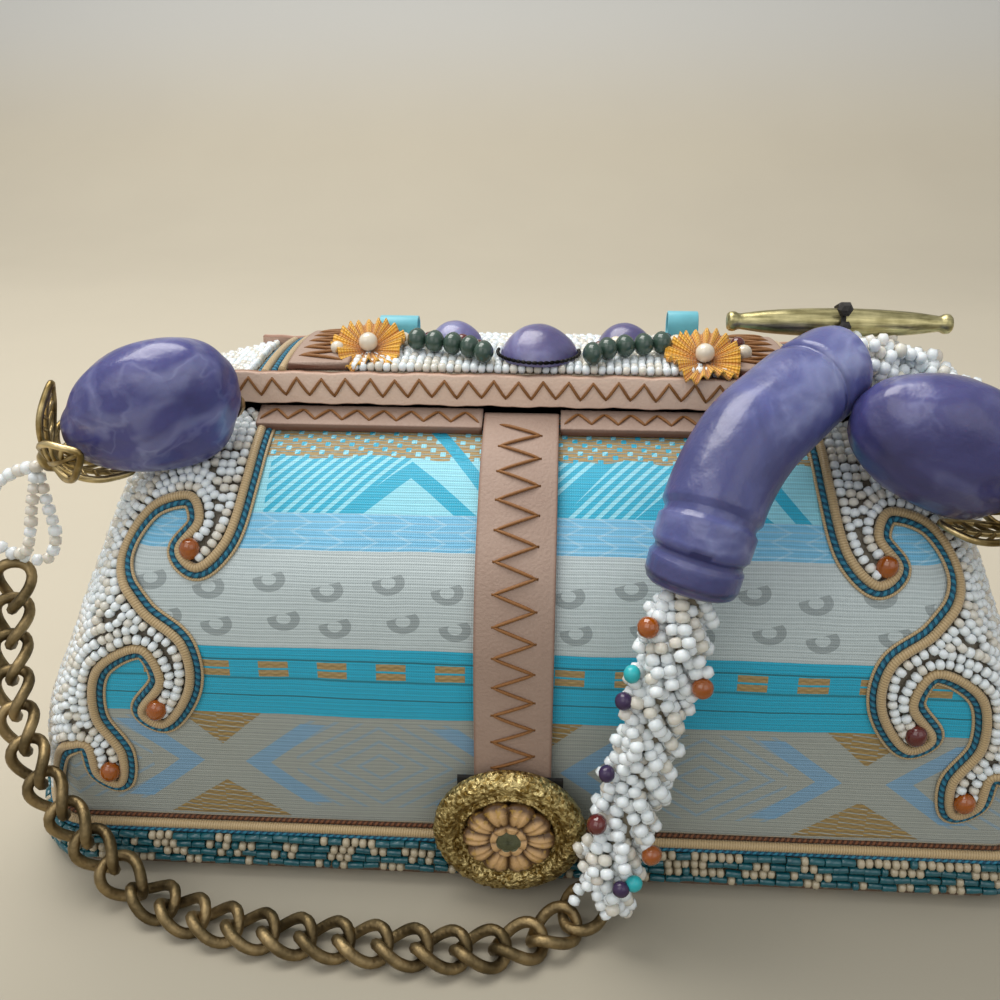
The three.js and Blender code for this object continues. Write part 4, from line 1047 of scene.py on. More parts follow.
def make_band():
    count = 420
    sheet = []
    for z, lift in ((0.8, 0.7), (0.8, 1.7), (11.9, 1.7), (11.9, 0.7)):
        sheet.append(belt(z, lift, count)[0])
    pile = Pile()
    pile.grid(np.array(sheet), wrap=(True, True))
    keep(pile.make("band_cloth", finish("band_cloth", lambda place: {"Base Color": place.noise(900, 2).mix(
        "#7C6A50", "#A9977A")}, Roughness=0.9), smooth=False), "band_beads", "beaded_band")
    chance = random.Random(7)
    bead, tube = mm("band_bead"), mm("bugle")
    bugles, seeds = Spots(), Spots()
    for row in range(5):
        z = 2.0 + row * 2.26
        path, out = belt(z, 2.7, 2600)
        along = tangents(path, True)
        pitch = length_of(np.vstack((path, path[:1]))) / len(path)
        s, last = chance.random() * 3, 0
        while s < pitch * len(path) - tube:
            if last > 0:
                kind, last = "bugle", last - 1
            elif last < 0:
                kind, last = "seed", last + 1
            else:
                last = chance.choice((1, 1, 2)) if chance.random() < 0.5 else -chance.choice((1, 2, 2, 3, 4))
                continue
            long = tube * chance.uniform(0.9, 1.1) if kind == "bugle" else bead * 0.82
            i = int((s + long / 2) / pitch) % len(path)
            lean = UP * chance.uniform(-0.12, 0.12)
            place = path[i] + out[i] * chance.uniform(-0.2, 0.2) + UP * chance.uniform(-0.15, 0.15)
            if kind == "bugle":
                bugles.add(place, along[i] + lean, out[i], (long, 2.9, 2.9), chance.uniform(0, 0.45))
            else:
                shade = 0.9 if chance.random() < 0.86 else 0.2
                seeds.add(place, along[i] + lean, out[i], (bead, bead, bead), shade)
            s += long + 0.12
    finish_band = finish("band_glass", paint_band, Coat_Weight=0.5, Coat_Roughness=0.08)
    keep(bugles.make("band_bugles", template("bugle_bead", bugle_bead), finish_band), "band_beads")
    keep(seeds.make("band_seed_beads", template("seed_bead_small", field_bead), finish_band), "band_beads")
    cord = Pile()
    cord.tube(belt(13.4, 1.15, 760)[0], 1.15, 9, closed=True)
    keep(cord.make("foot_cord_gold", gold_cord()), "gold_cord", "foot_cord")
    lines = Pile()
    lines.tube(belt(15.0, 0.45, 760)[0], 0.5, 6, closed=True)
    keep(lines.make("foot_cord_brown", finish("brown_cord", paint_cord("#7A4B2C", "#3A2014"),
                                              Roughness=0.7)), "gold_cord")
    lines = Pile()
    lines.tube(belt(12.25, 2.1, 760)[0], 0.42, 6, closed=True)
    keep(lines.make("foot_cord_blue", blue_braid()), "gold_cord")
    repaint("base_board", finish("covered_board", lambda place: {"Base Color": place.noise(300, 4).mix(
        "#5C4636", "#7D6450"), "Normal": bump(place.noise(1200, 3), 0.0002)}, Roughness=0.75))


def make_scrolls():
    line, normal = scroll_line()
    along = tangents(line)
    cloth_side = np.cross(along, normal)
    gold, braid = Pile(), Pile()
    radius = mm("cord") / 2
    for sides in QUARTERS:
        for pile, shift, thick, lift in ((gold, 0.0, radius, 1.0), (braid, -1.65, 0.62, 0.55),
                                         (gold, -2.6, 0.36, 0.3)):
            path = line - cloth_side * shift + normal * lift
            pile.tube(mirrored(even(path, 520), sides), thick, 8)
    keep(gold.make("scroll_cords", gold_cord()), "gold_cord",
         *(f"scroll_cord_{SIDE_NAMES[sides]}" for sides in QUARTERS))
    keep(braid.make("scroll_braids", blue_braid()), "gold_cord")
    ambers, garnets = Spots(), Spots()
    size = mm("drop")
    for sides in QUARTERS:
        for i, (x, z) in enumerate(HOOK_DROPS):
            place, out = on_skin(np.array([x]), np.array([z]), 2.0)
            spots = garnets if (sides[0] > 0 and i == 1) else ambers
            spots.add(mirrored(place[0], sides), (0.3, 0.0, 1.0), mirrored(out[0], sides),
                      (size, size * 0.9, size * 0.8))
    amber = plain("amber", tone("amber"), 0.1, Coat_Weight=0.8, Transmission_Weight=0.35)
    garnet = plain("garnet", "#5E1F1C", 0.1, Coat_Weight=0.6)
    keep(ambers.make("amber_drops", template("ball", ball), amber), "white_beads")
    keep(garnets.make("garnet_drops", template("ball", ball), garnet), "white_beads")


def field_beads():
    """Beads of one field in rows that follow the scroll: place, way along the row, outward normal."""
    line, _ = scroll_line(500)
    row, bead = mm("bead_row"), mm("seed_bead")
    q, v = np.linspace(0.27, 0.999, 330), np.arange(13.5, PROFILE_ARC[-1] - 0.6, 0.34)
    qq, zz = np.meshgrid(q, np.interp(v, PROFILE_ARC, PROFILE_Z))
    place = skin(qq, zz).reshape(-1, 3)
    qq, zz = qq.ravel(), zz.ravel()
    held = in_field(place[:, 0], place[:, 2]) & (place[:, 1] < -7.6) & (place[:, 2] > 15.4)
    place, qq, zz = place[held], qq[held], zz[held]
    nearest = np.empty(len(place), int)
    distance = np.empty(len(place))
    for start in range(0, len(place), 4000):
        gap = np.linalg.norm(place[start:start + 4000, None] - line[None], axis=2)
        nearest[start:start + 4000] = gap.argmin(1)
        distance[start:start + 4000] = gap.min(1)
    first = 1.05 + bead / 2
    level_of = np.round((distance - first) / row)
    close = np.abs(distance - first - level_of * row) < 0.2
    close &= level_of >= 0
    index = np.flatnonzero(close)
    index = index[np.lexsort((place[index, 2], nearest[index], level_of[index]))]
    normal = skin_normal(qq[index], zz[index])
    place, away = place[index], place[index] - line[nearest[index]]
    cells, chosen, least = {}, [], bead * 0.755
    for i, spot in enumerate(place):
        cell = tuple((spot // least).astype(int))
        near = (j for a in (-1, 0, 1) for b in (-1, 0, 1) for c in (-1, 0, 1)
                for j in cells.get((cell[0] + a, cell[1] + b, cell[2] + c), ()))
        if all(np.dot(spot - place[j], spot - place[j]) >= least * least for j in near):
            cells.setdefault(cell, []).append(i)
            chosen.append(i)
    chosen = np.array(chosen)
    return place[chosen], np.cross(normal[chosen], unit(away[chosen])), normal[chosen]


def make_bead_fields():
    places, ways, normals = field_beads()
    size = mm("seed_bead")
    for number, sides in enumerate(QUARTERS):
        chance = random.Random(20 + number)
        spots = Spots()
        for place, way, normal in zip(places, ways, normals):
            lift = size * 0.42 + chance.uniform(-0.12, 0.16)
            scale = size * chance.uniform(0.93, 1.06)
            spots.add(mirrored(place + normal * lift, sides), mirrored(way, sides), mirrored(normal, sides),
                      (scale, scale, scale), chance.random())
        keep(spots.make(f"beads_{SIDE_NAMES[sides]}", template("field_bead", field_bead), glass_beads(),
                        jitter=0.12, seed=number), "white_beads", f"beading_{SIDE_NAMES[sides]}")


def zigzag(spots, path, out, width, pitch, lift, thick):
    """Thread laid to and fro across a strap."""
    path = np.asarray(path, float)
    total = length_of(path)
    count = max(2, int(round(total / (pitch / 2))))
    points, normals = even(path, count + 1), unit(even(np.asarray(out, float), count + 1))
    side = unit(np.cross(normals, tangents(points)))
    to_and_fro = np.where(np.arange(count + 1) % 2, 1, -1)[:, None]
    corner = points + side * (width / 2) * to_and_fro + normals * lift
    for a, b, n in zip(corner[:-1], corner[1:], normals):
        reach = b - a
        spots.add((a + b) / 2, reach, n, (float(np.linalg.norm(reach)) * 1.03, thick / 0.22, thick / 0.22))


def strap_line(x, low, high, count=90):
    """A line up the front at one place across, with outward normals."""
    v = np.linspace(np.interp(low, PROFILE_Z, PROFILE_ARC), np.interp(high, PROFILE_Z, PROFILE_ARC), count)
    z = np.interp(v, PROFILE_ARC, PROFILE_Z)
    return on_skin(np.full(count, float(x)), z, 0.0)


def rim_line(x0, x1, count=60):
    x = np.linspace(x0, x1, count)
    return on_skin(x, np.full(count, 101.9), 0.0)


def make_leather():
    thick, yarn = mm("leather"), mm("yarn")
    spots = Spots()
    path, out = strap_line(-3.5, 22.0, 102.6)
    pile = Pile()
    pile.ribbon(path, out, mm("strap"), thick, 0.3)
    keep(pile.make("strap_leather", tan_leather()), "tan_leather", "front_strap")
    zigzag(spots, path[8:-4], out[8:-4], 9.0, 6.7, thick + 0.45, yarn)
    rims = Pile()
    for x0, x1, side in ((-65.5, -12.6, 1), (5.6, 65.5, 1), (-65.5, 65.5, -1)):
        path, out = rim_line(x0, x1)
        path, out = path * (1, side, 1), out * (1, side, 1)
        rims.ribbon(path, out, 7.0, thick, 0.3)
        zigzag(spots, path[1:-1], out[1:-1], 3.4, 6.2, thick + 0.4, yarn * 0.9)
    keep(rims.make("rim_leather", tan_leather()), "tan_leather",
         "rim_strip_front_left", "rim_strip_front_right", "rim_strip_back")
    ends = Pile()
    for side in (-1, 1):
        z = np.interp(np.linspace(14.0, PROFILE_ARC[-1], 80), PROFILE_ARC, PROFILE_Z)
        point = skin(np.full(80, 1.0), z)
        normal = unit(np.cross((0.0, 1.0, 0.0), tangents(point)))
        point, normal = point * (side, 1, 1), normal * (side, 1, 1)
        ends.ribbon(point, normal, 12.0, 3.0, 0.3, corner=0.6)
        zigzag(spots, point[2:-2], normal[2:-2], 7.0, 7.0, 3.35, yarn)
    keep(ends.make("end_leather", brown_leather()), "brown_leather", "end_strip_left", "end_strip_right")
    keep(spots.make("leather_stitches", template("stitch", stitch), thread()), "tan_leather")


def facing_front(rings, x, y, z):
    """Rings made round the x axis, turned to face the front and moved."""
    return np.stack((rings[..., 1] + x, y - rings[..., 0], rings[..., 2] + z), axis=-1)


def make_button():
    x, z, squash = -4.0, 19.9, 0.95
    rows = ((0.0, 12.0), (0.1, 15.6), (1.0, 17.0), (2.6, 17.3), (3.9, 16.8), (4.8, 15.6), (5.2, 14.2),
            (4.9, 13.0), (3.9, 12.2), (3.7, 11.6), (4.4, 11.2), (4.3, 10.4), (3.4, 9.8))
    fine = spline(np.column_stack((np.array(rows), np.zeros(len(rows)))), 46)[:, :2]
    rings = rings_along_x(fine, 150)
    crumbs = np.random.default_rng(12).uniform(-1, 1, rings.shape[:2])
    crumbs = crumbs + 0.6 * np.roll(crumbs, 1, 1) + 0.5 * np.roll(crumbs, 1, 0)
    rings[..., 0] += crumbs * 0.17
    rings[..., 1:] *= (1 + crumbs * 0.009)[..., None]
    rings[..., 2] *= squash
    pile = Pile()
    pile.lathe(facing_front(rings, x, -59.1, z))
    keep(pile.make("button_rim", glitter()), "button_gold", "button_back")
    turns, rows = 200, 52
    radius = np.linspace(10.4, 0.0, rows)[:-1]
    angle = np.linspace(0, 2 * math.pi, turns, endpoint=False)
    r, a = np.meshgrid(radius, angle, indexing="ij")
    share = r / 10.4
    petal = np.abs(np.cos(a * 5 + 0.25 * np.sin(a * 2)))
    inner = np.abs(np.cos(a * 4 + 0.9))
    arch = np.sin(math.pi * np.clip((1 - share) / 0.62, 0, 1)) ** 0.6
    crease = np.exp(-((petal - 1.0) / 0.05) ** 2) * 0.35
    outer_petals = 0.9 + 1.7 * petal ** 0.55 * arch - crease
    inner_petals = 1.5 + 0.9 * inner ** 0.5
    middle = 1.7 + 0.5 * np.sqrt(np.maximum(1 - (share / 0.27) ** 2 * 0.99, 0))
    bloom = np.where(share > 0.4, outer_petals, np.where(share > 0.26, inner_petals, middle))
    bloom = bloom + np.random.default_rng(4).uniform(-0.06, 0.06, bloom.shape)
    reach = r * np.where(share > 0.8, 0.88 + 0.12 * petal ** 0.5, 1.0)
    place = np.stack((x + reach * np.cos(a), -63.2 - bloom, z + reach * squash * np.sin(a)), axis=-1)
    run = np.stack((share, (bloom - 0.7) / 2.0, a), axis=-1)
    low = place[:1].copy()
    low[..., 1] = -63.0
    pile = Pile()
    pile.lathe(np.concatenate((low, place)), np.concatenate((run[:1], run)))
    keep(pile.make("button_flower", finish("rosette", paint_rosette)), "rosette", "button_rosette")
    repaint("strap_backing", finish("black_cloth", lambda place: {"Base Color": place.noise(1500, 2).mix(
        "#0C0B0B", "#2A2826"), "Normal": bump(place.noise(2400, 2), 0.0002)}, Roughness=0.9))


LID_BASE = 106.2


def lid_half_depth(x):
    share = np.maximum(np.abs(x) - 70.0, 0) / 15.0
    return 14.7 * np.sqrt(np.maximum(1 - (0.96 * share) ** 2, 0.01))


def lid_skin(x, across, lift=0.0):
    """A point of the lid's top."""
    x, across = np.broadcast_arrays(np.asarray(x, float), np.asarray(across, float))
    fall = np.clip((np.abs(x) - 50.4) / 34.6, 0, 1)
    fall = fall * fall * (3 - 2 * fall)
    edge, crown = 7.4 + (2.4 - 7.4) * fall, 8.6 + (2.8 - 8.6) * fall
    z = LID_BASE + edge + (crown - edge) * (1 - across ** 2) + lift
    return np.stack((x, across * lid_half_depth(x), z), axis=-1)


def lid_normal(x, across):
    e = 0.01
    return unit(np.cross(lid_skin(x + e, across) - lid_skin(x - e, across),
                         lid_skin(x, np.asarray(across) + e) - lid_skin(x, np.asarray(across) - e)))


def make_lid():
    x = np.linspace(-85, 85, 150)
    across = np.linspace(-1, 1, 25)
    xx, cc = np.meshgrid(x, across, indexing="ij")
    top = lid_skin(xx, cc)
    under = top[:, ::-1].copy()
    under[..., 2] = LID_BASE
    pile = Pile()
    pile.lathe(np.concatenate((top, under), axis=1))
    keep(pile.make("lid_cloth_top", finish("lid_cloth", lambda place: {"Base Color": place.noise(700, 3).mix(
        "#8C7B64", "#CBBFA8")}, Roughness=0.85)), "lid_cloth", "lid_shell")
    spots, yarn, thick = Spots(), mm("yarn"), mm("leather")
    strips = Pile()
    for side in (-1, 1):
        x = np.linspace(-73, 73, 120)
        wave = 0.35 * np.sin(x * 0.42) + 0.2 * np.sin(x * 1.1 + 1)
        path = np.column_stack((x, np.full(120, 15.0 * side), 110.1 + wave * 0.4))
        out = np.tile((0.0, float(side), 0.0), (120, 1))
        strips.ribbon(path, out, 7.4, thick, 0.0)
        line = path + UP * 0.4
        zigzag(spots, line[2:-2], out[2:-2], 4.0, 5.8, thick + 0.1, yarn * 0.9)
    keep(strips.make("lid_leather", lid_leather()), "tan_leather", "lid_strip_front", "lid_strip_back")
    bands = Pile()
    gold, braid = Pile(), Pile()
    for side in (-1, 1):
        across = np.linspace(-1, 1, 40)
        middle = lid_skin(np.full(40, 51.3), across) * (side, 1, 1)
        out = lid_normal(np.full(40, 51.3), across) * (side, 1, 1)
        bands.ribbon(middle, out, 14.5, 1.9, 0.3)
        zigzag(spots, middle[2:-2], out[2:-2], 10.0, 5.2, 2.3, yarn)
        for reach, radius, pile in ((59.9, 1.0, gold), (62.0, 0.75, braid),
                                    (64.1, 1.0, gold), (65.9, 0.6, braid)):
            line = lid_skin(np.full(90, reach), np.linspace(-1, 1, 90)) + lid_normal(
                np.full(90, reach), np.linspace(-1, 1, 90)) * (radius + 0.1)
            pile.tube(line * (side, 1, 1), radius, 8)
    keep(bands.make("lid_bands", tan_leather()), "tan_leather", "lid_band_left", "lid_band_right")
    keep(gold.make("lid_cords", gold_cord()), "gold_cord", "lid_cord_left", "lid_cord_right")
    keep(braid.make("lid_braids", blue_braid()), "gold_cord")
    keep(spots.make("lid_stitches", template("stitch", stitch), thread()), "tan_leather")
    chance = random.Random(31)
    beads, size = Spots(), mm("seed_bead")
    for row in range(-7, 8):
        across = row * 2.02 / 14.7
        if abs(across) > 0.97:
            continue
        for low, high in ((-84.0, -67.4), (-43.4, 43.4), (67.4, 84.0)):
            x = low + chance.random()
            while x < high:
                place = lid_skin(x, across)
                normal = lid_normal(x, across)
                scale = size * chance.uniform(0.93, 1.06)
                lift = size * 0.45 + chance.uniform(-0.1, 0.2)
                way = (1, 0, chance.uniform(-0.1, 0.1))
                beads.add(place + normal * lift, way, normal, (scale, scale, scale), chance.random())
                x += 1.86
    keep(beads.make("lid_beads", template("field_bead", field_bead), glass_beads(), jitter=0.12, seed=9),
         "white_beads", "lid_beading_left", "lid_beading_middle", "lid_beading_right")


def lid_top(x, y):
    half = lid_half_depth(np.array(float(x)))
    return float(lid_skin(float(x), y / half)[2]) + 2.1


def make_jewels():
    stones = Pile()
    for x, y, size, high in ((0.0, -7.4, 18.6, 7.0), (-21.0, 4.6, 13.0, 4.4), (21.0, 4.6, 13.0, 4.4)):
        up = np.linspace(0, 1, 26)
        radius = size / 2 * np.sqrt(np.maximum(1 - up ** 1.5, 0))
        angle = np.linspace(0, 2 * math.pi, 48, endpoint=False)
        base = lid_top(x, y)
        rough = 1 + 0.02 * np.sin(3 * angle[None] + up[:, None] * 4) + 0.015 * np.cos(5 * angle[None])
        reach = radius[:, None] * rough
        height = np.broadcast_to(base - 0.6 + up[:, None] * (high + 0.6), (26, 48))
        rings = np.stack((x + reach * np.cos(angle), y + reach * np.sin(angle), height), axis=-1)
        stones.lathe(rings)
    keep(stones.make("cabochons", resin()), "purple_resin",
         "cabochon_front", "cabochon_left", "cabochon_right")
    foot = Spots()
    for turn in np.linspace(math.pi * 0.95, math.pi * 2.05, 26):
        out = np.array((math.cos(turn), math.sin(turn), 0.0))
        place = np.array((0.0, -7.4, 0.0)) + out * 9.7
        foot.add(place + UP * (lid_top(0, -7.4) + 0.5), np.cross(UP, out), UP, (1.5, 0.9, 0.9))
    keep(foot.make("cabochon_chain", template("ball", ball), dark_metal()), "purple_resin")
    petals, pearls, ribbons = Pile(), Spots(), Pile()
    greens, creams, garnets, chance = Spots(), Spots(), Spots(), random.Random(5)
    for side, (x, y) in ((-1, (-40.7, -7.0)), (1, (38.6, -11.0))):
        base = lid_top(x, y)
        angle = np.linspace(0, 2 * math.pi, 264, endpoint=False)
        share = np.linspace(0.12, 1, 14)
        ss, aa = np.meshgrid(share, angle, indexing="ij")
        pleat = np.cos(aa * 22) * 0.75 * ss
        lobe = 1 - 0.14 * (1 + np.cos(5 * aa + 0.6)) / 2
        reach = 9.3 * ss * lobe
        top = np.stack((x + reach * np.cos(aa), y + reach * np.sin(aa) * 0.96,
                        base - 0.2 + 2.2 * ss ** 0.8 + pleat + 0.8 * np.cos(5 * aa + 0.6) * ss
                        + 0.38 * reach * np.sin(aa)), axis=-1)
        low = top[::-1].copy()
        low[..., 2] -= 0.5
        run = np.stack((aa, ss, ss * 0), axis=-1)
        petals.lathe(np.concatenate((top, low)), np.concatenate((run, run[::-1])))
        pearls.add((x, y - 0.3, base + 2.2), (1, 0, 0), (0, 0, 1), (4.6, 4.6, 4.6))
        wide, tall = (9.6, 4.4) if side < 0 else (7.4, 6.4)
        loop = np.array(((-0.2, 0.0), (-0.46, 0.2), (-0.48, 0.7), (-0.2, 1.0),
                         (0.2, 1.0), (0.48, 0.7), (0.46, 0.2), (0.2, 0.02))) * (5.0, tall)
        rise = loop[:, 1] + lid_top(35, 6) + 0.5
        path = spline(np.column_stack((np.full(8, side * 35.0), loop[:, 0] + 6.0, rise)), 60)
        out = unit(np.cross((1.0, 0.0, 0.0), tangents(path)))
        ribbons.ribbon(path, out, wide, 0.5, -0.25, corner=0.2, steps=3)
        row = spline([(side * px, py, lid_top(px, py) + 2.5) for px, py in
                      ((12.6, -14), (15.5, -11.4), (19.5, -9.4), (24.5, -8), (29, -6.6))], 60)
        for place in even(row, 5):
            greens.add(place + UP * 0.3, tangents(row)[30], (0, 0, 1), (5.0, 5.5, 5.5), chance.random())
        for px, py in ((14.5, -5.5), (18.5, -3.4), (26.5, -1.8), (30.5, 0.5), (33, -1.5),
                       (47.5, -2), (48, -8.5)):
            bead = creams if chance.random() < 0.45 else garnets
            size = chance.uniform(3.0, 3.9)
            bead.add((side * px, py, lid_top(px, py) + size * 0.35), (1, 0, 0), (0, 0, 1), (size, size, size))
    keep(petals.make("ribbon_flowers", finish("petals", paint_petals, Roughness=0.55, Sheen_Weight=0.3)),
         "petal_ribbon", "flower_left", "flower_right")
    pearl = plain("pearl", "#E6DCC8", 0.2, 0.08, Coat_Weight=0.6)
    keep(pearls.make("flower_pearls", template("ball", ball), pearl), "petal_ribbon")
    keep(creams.make("lid_pearls", template("ball", ball), pearl), "white_beads")
    garnet = plain("garnet", "#5E1F1C", 0.1, Coat_Weight=0.6)
    keep(garnets.make("lid_garnets", template("ball", ball), garnet), "white_beads")
    aqua = plain("aqua_ribbon", tone("aqua"), 0.45, 0.2, Sheen_Weight=0.3)
    keep(ribbons.make("aqua_loops", aqua), "aqua_ribbon", "ribbon_left", "ribbon_right")
    green = plain("green_stone", "#3A5146", 0.25, Coat_Weight=0.4)
    keep(greens.make("green_beads", template("ribbed_bead", ribbed_bead), green),
         "green_stone", "green_beads_left", "green_beads_right")


def ribbed_bead(pile):
    """A ribbed round bead 1 mm across, its hole along x."""
    a = np.linspace(0, math.pi, 11)[1:-1]
    rings = rings_along_x(np.column_stack((-0.46 * np.cos(a), 0.5 * np.sin(a))), 24)
    turn = np.arctan2(rings[..., 2], rings[..., 1])
    rib = 1 - 0.13 * (1 - np.abs(np.cos(turn * 5)))
    rings[..., 1:] *= rib[..., None]
    pile.lathe(rings)


def nugget_frame(facts):
    along = unit(np.array(facts["along"], float))
    out = unit(np.array((0.0, -1.0, 0.0)) + along * along[1])
    up = unit(np.cross(out, along))
    return along, (-up if up[2] < 0 else up), out


def outline_share(name, angle):
    """How far a nugget's outline stands from an oval at an angle, smoothed."""
    rows = np.array(NUGGET_OUTLINES[name], float)
    degrees = np.degrees(angle)
    return sum(np.interp((degrees + shift) % 360, rows[:, 0], rows[:, 1], period=360)
               for shift in (-18, -9, 0, 9, 18)) / 5


def make_nuggets():
    for name, facts in NUGGETS.items():
        e1, e2, e3 = nugget_frame(facts)
        polar, turn = np.linspace(0, math.pi, 74)[1:-1], np.linspace(0, 2 * math.pi, 110, endpoint=False)
        pp, tt = np.meshgrid(polar, turn, indexing="ij")
        x, y, z = -np.cos(pp), np.sin(pp) * np.cos(tt), np.sin(pp) * np.sin(tt)
        fat = 1 + facts["taper"] * x
        flat = 1 - 0.05 * np.cos(3 * np.arctan2(y, z) + 1)
        seed = 1.7 if name == "left" else 4.1
        rough = 1 + 0.01 * np.sin(7 * x + 5 * y + seed) + 0.008 * np.sin(9 * z - 6 * x + seed) \
            + 0.006 * np.sin(15 * y + 11 * z + seed)
        a, b, c = NUGGET_HALVES
        tall = b * facts["tall"]
        reach = 1 + (outline_share(name, np.arctan2(y * tall, x * a)) - 1) * (x * x + y * y)
        girth = fat * flat * rough
        local = np.stack((x * a * rough * reach, y * tall * girth * reach, z * c * girth), axis=-1)
        place = np.array(facts["centre"], float) + UP * facts["lift"] + local @ np.array((e1, e2, e3))
        pile = Pile()
        pile.lathe(place)
        keep(pile.make(f"nugget_stone_{name}", resin(name)), "purple_resin", f"nugget_{name}")
        repaint(f"nugget_cap_{name}", antique_gold())
        make_leaf_cap(name, facts)


def make_leaf_cap(name, facts):
    hub, centre = np.array(facts["hub"], float), np.array(facts["centre"], float)
    axis = unit(centre - hub)
    up = unit(UP - axis * axis[2])
    front = np.array((0.0, -1.0, 0.0))
    front = unit(front - axis * np.dot(front, axis) - up * np.dot(front, up))
    pile, grow = Pile(), LEAF / 12.6
    for around, lean, bend in ((0.0, 1.06, 0.1), (math.pi / 2, 1.15, 0.25), (math.pi, 0.9, 0.15),
                               (-math.pi / 2, 1.15, 0.25)):
        out = up * math.cos(around) + front * math.sin(around)
        side = unit(np.cross(axis, out))

        def laid(points, axis=axis, out=out, side=side, lean=lean, bend=bend):
            p = np.asarray(points, float)
            along = p[:, 0] + 2.2
            angle = (lean + bend - 2 * bend * along / LEAF)[:, None]
            lift = p[:, 2][:, None]
            along = along[:, None]
            return (hub + axis + axis * (along * np.cos(angle) - lift * np.sin(angle))
                    + out * (along * np.sin(angle) + lift * np.cos(angle)) + side * p[:, 1][:, None])

        half = np.array(((0, 0.24), (0.12, 0.6), (0.3, 0.88), (0.6, 0.94), (0.82, 0.6), (1.02, 0.0)))
        edge = np.column_stack((half[:, 0] * LEAF, half[:, 1] * 4.9, np.zeros(6)))
        outline = np.vstack((edge, (edge * (1, -1, 1))[::-1][1:]))
        pile.tube(laid(spline(outline, 60)), 0.8, 8)
        pile.tube(laid(spline(((0, 0, 0), (LEAF * 0.4, 0, 0.2), (LEAF, 0, 0)), 20)),
                  np.linspace(0.85, 0.5, 20), 7)
        for sign in (-1, 1):
            for root, tip, out_share in ((1.2, 3.4, 3.4), (3.6, 6.2, 3.8), (6.0, 8.6, 3.6), (8.4, 10.6, 2.3)):
                vein = ((root * grow, 0, 0), ((root + tip) / 2 * grow, sign * out_share * 0.63, 0.2),
                        (tip * grow, sign * out_share * 1.15, 0))
                pile.tube(laid(spline(vein, 10)), 0.5, 6)
    rings = []
    for radius, along in ((1.4, -1.5), (2.3, -1.2), (3.1, 0.2), (3.2, 1.4), (2.5, 2.6)):
        turn = np.linspace(0, 2 * math.pi, 24, endpoint=False)
        around = np.cos(turn)[:, None] * up + np.sin(turn)[:, None] * front
        rings.append(hub + axis * along + radius * around)
    pile.lathe(np.array(rings))
    keep(pile.make(f"leaf_cap_open_{name}", antique_gold()), "gold_metal", f"leaf_cap_{name}")


def make_chains():
    for name, route in CHAINS.items():
        fine = spline(route, 900)
        count = round(length_of(fine) / 8.6)
        spots = Spots()
        for i in range(count):
            k = int((i + 0.5) / count * 899)
            centre, along = fine[k], unit(fine[min(k + 4, 899)] - fine[max(k - 4, 0)])
            outward = unit(np.array((1.0, 0.0, 0.2) if centre[0] > 0 else (-0.35, -1.0, 0.2)))
            lying = np.clip((1 - abs(along[2]) - 0.1) / 0.8, 0, 1)
            lying = lying * lying * (3 - 2 * lying)
            flat = unit(outward * (1 - lying) + UP * lying)
            side = unit(np.cross(flat, along))
            spots.add(centre, along, np.cross(along, side))
        keep(spots.make(f"curb_chain_{name}", template("curb_link", curb_link), chain_brass()), "chain_brass",
             f"chain_{name}")


def string_beads(spots, path, bead, chance):
    """Round beads along a thread."""
    count = max(2, int(length_of(path) / (bead * 0.8 + THREAD_GAP)))
    points = even(path, count)
    along = tangents(points)
    for p, t in zip(points, along):
        scale = bead * chance.uniform(0.92, 1.07)
        across = UP if abs(t[2]) < 0.9 else np.array((1.0, 0.0, 0.0))
        spots.add(p, t, across, (scale, scale, scale), chance.random())


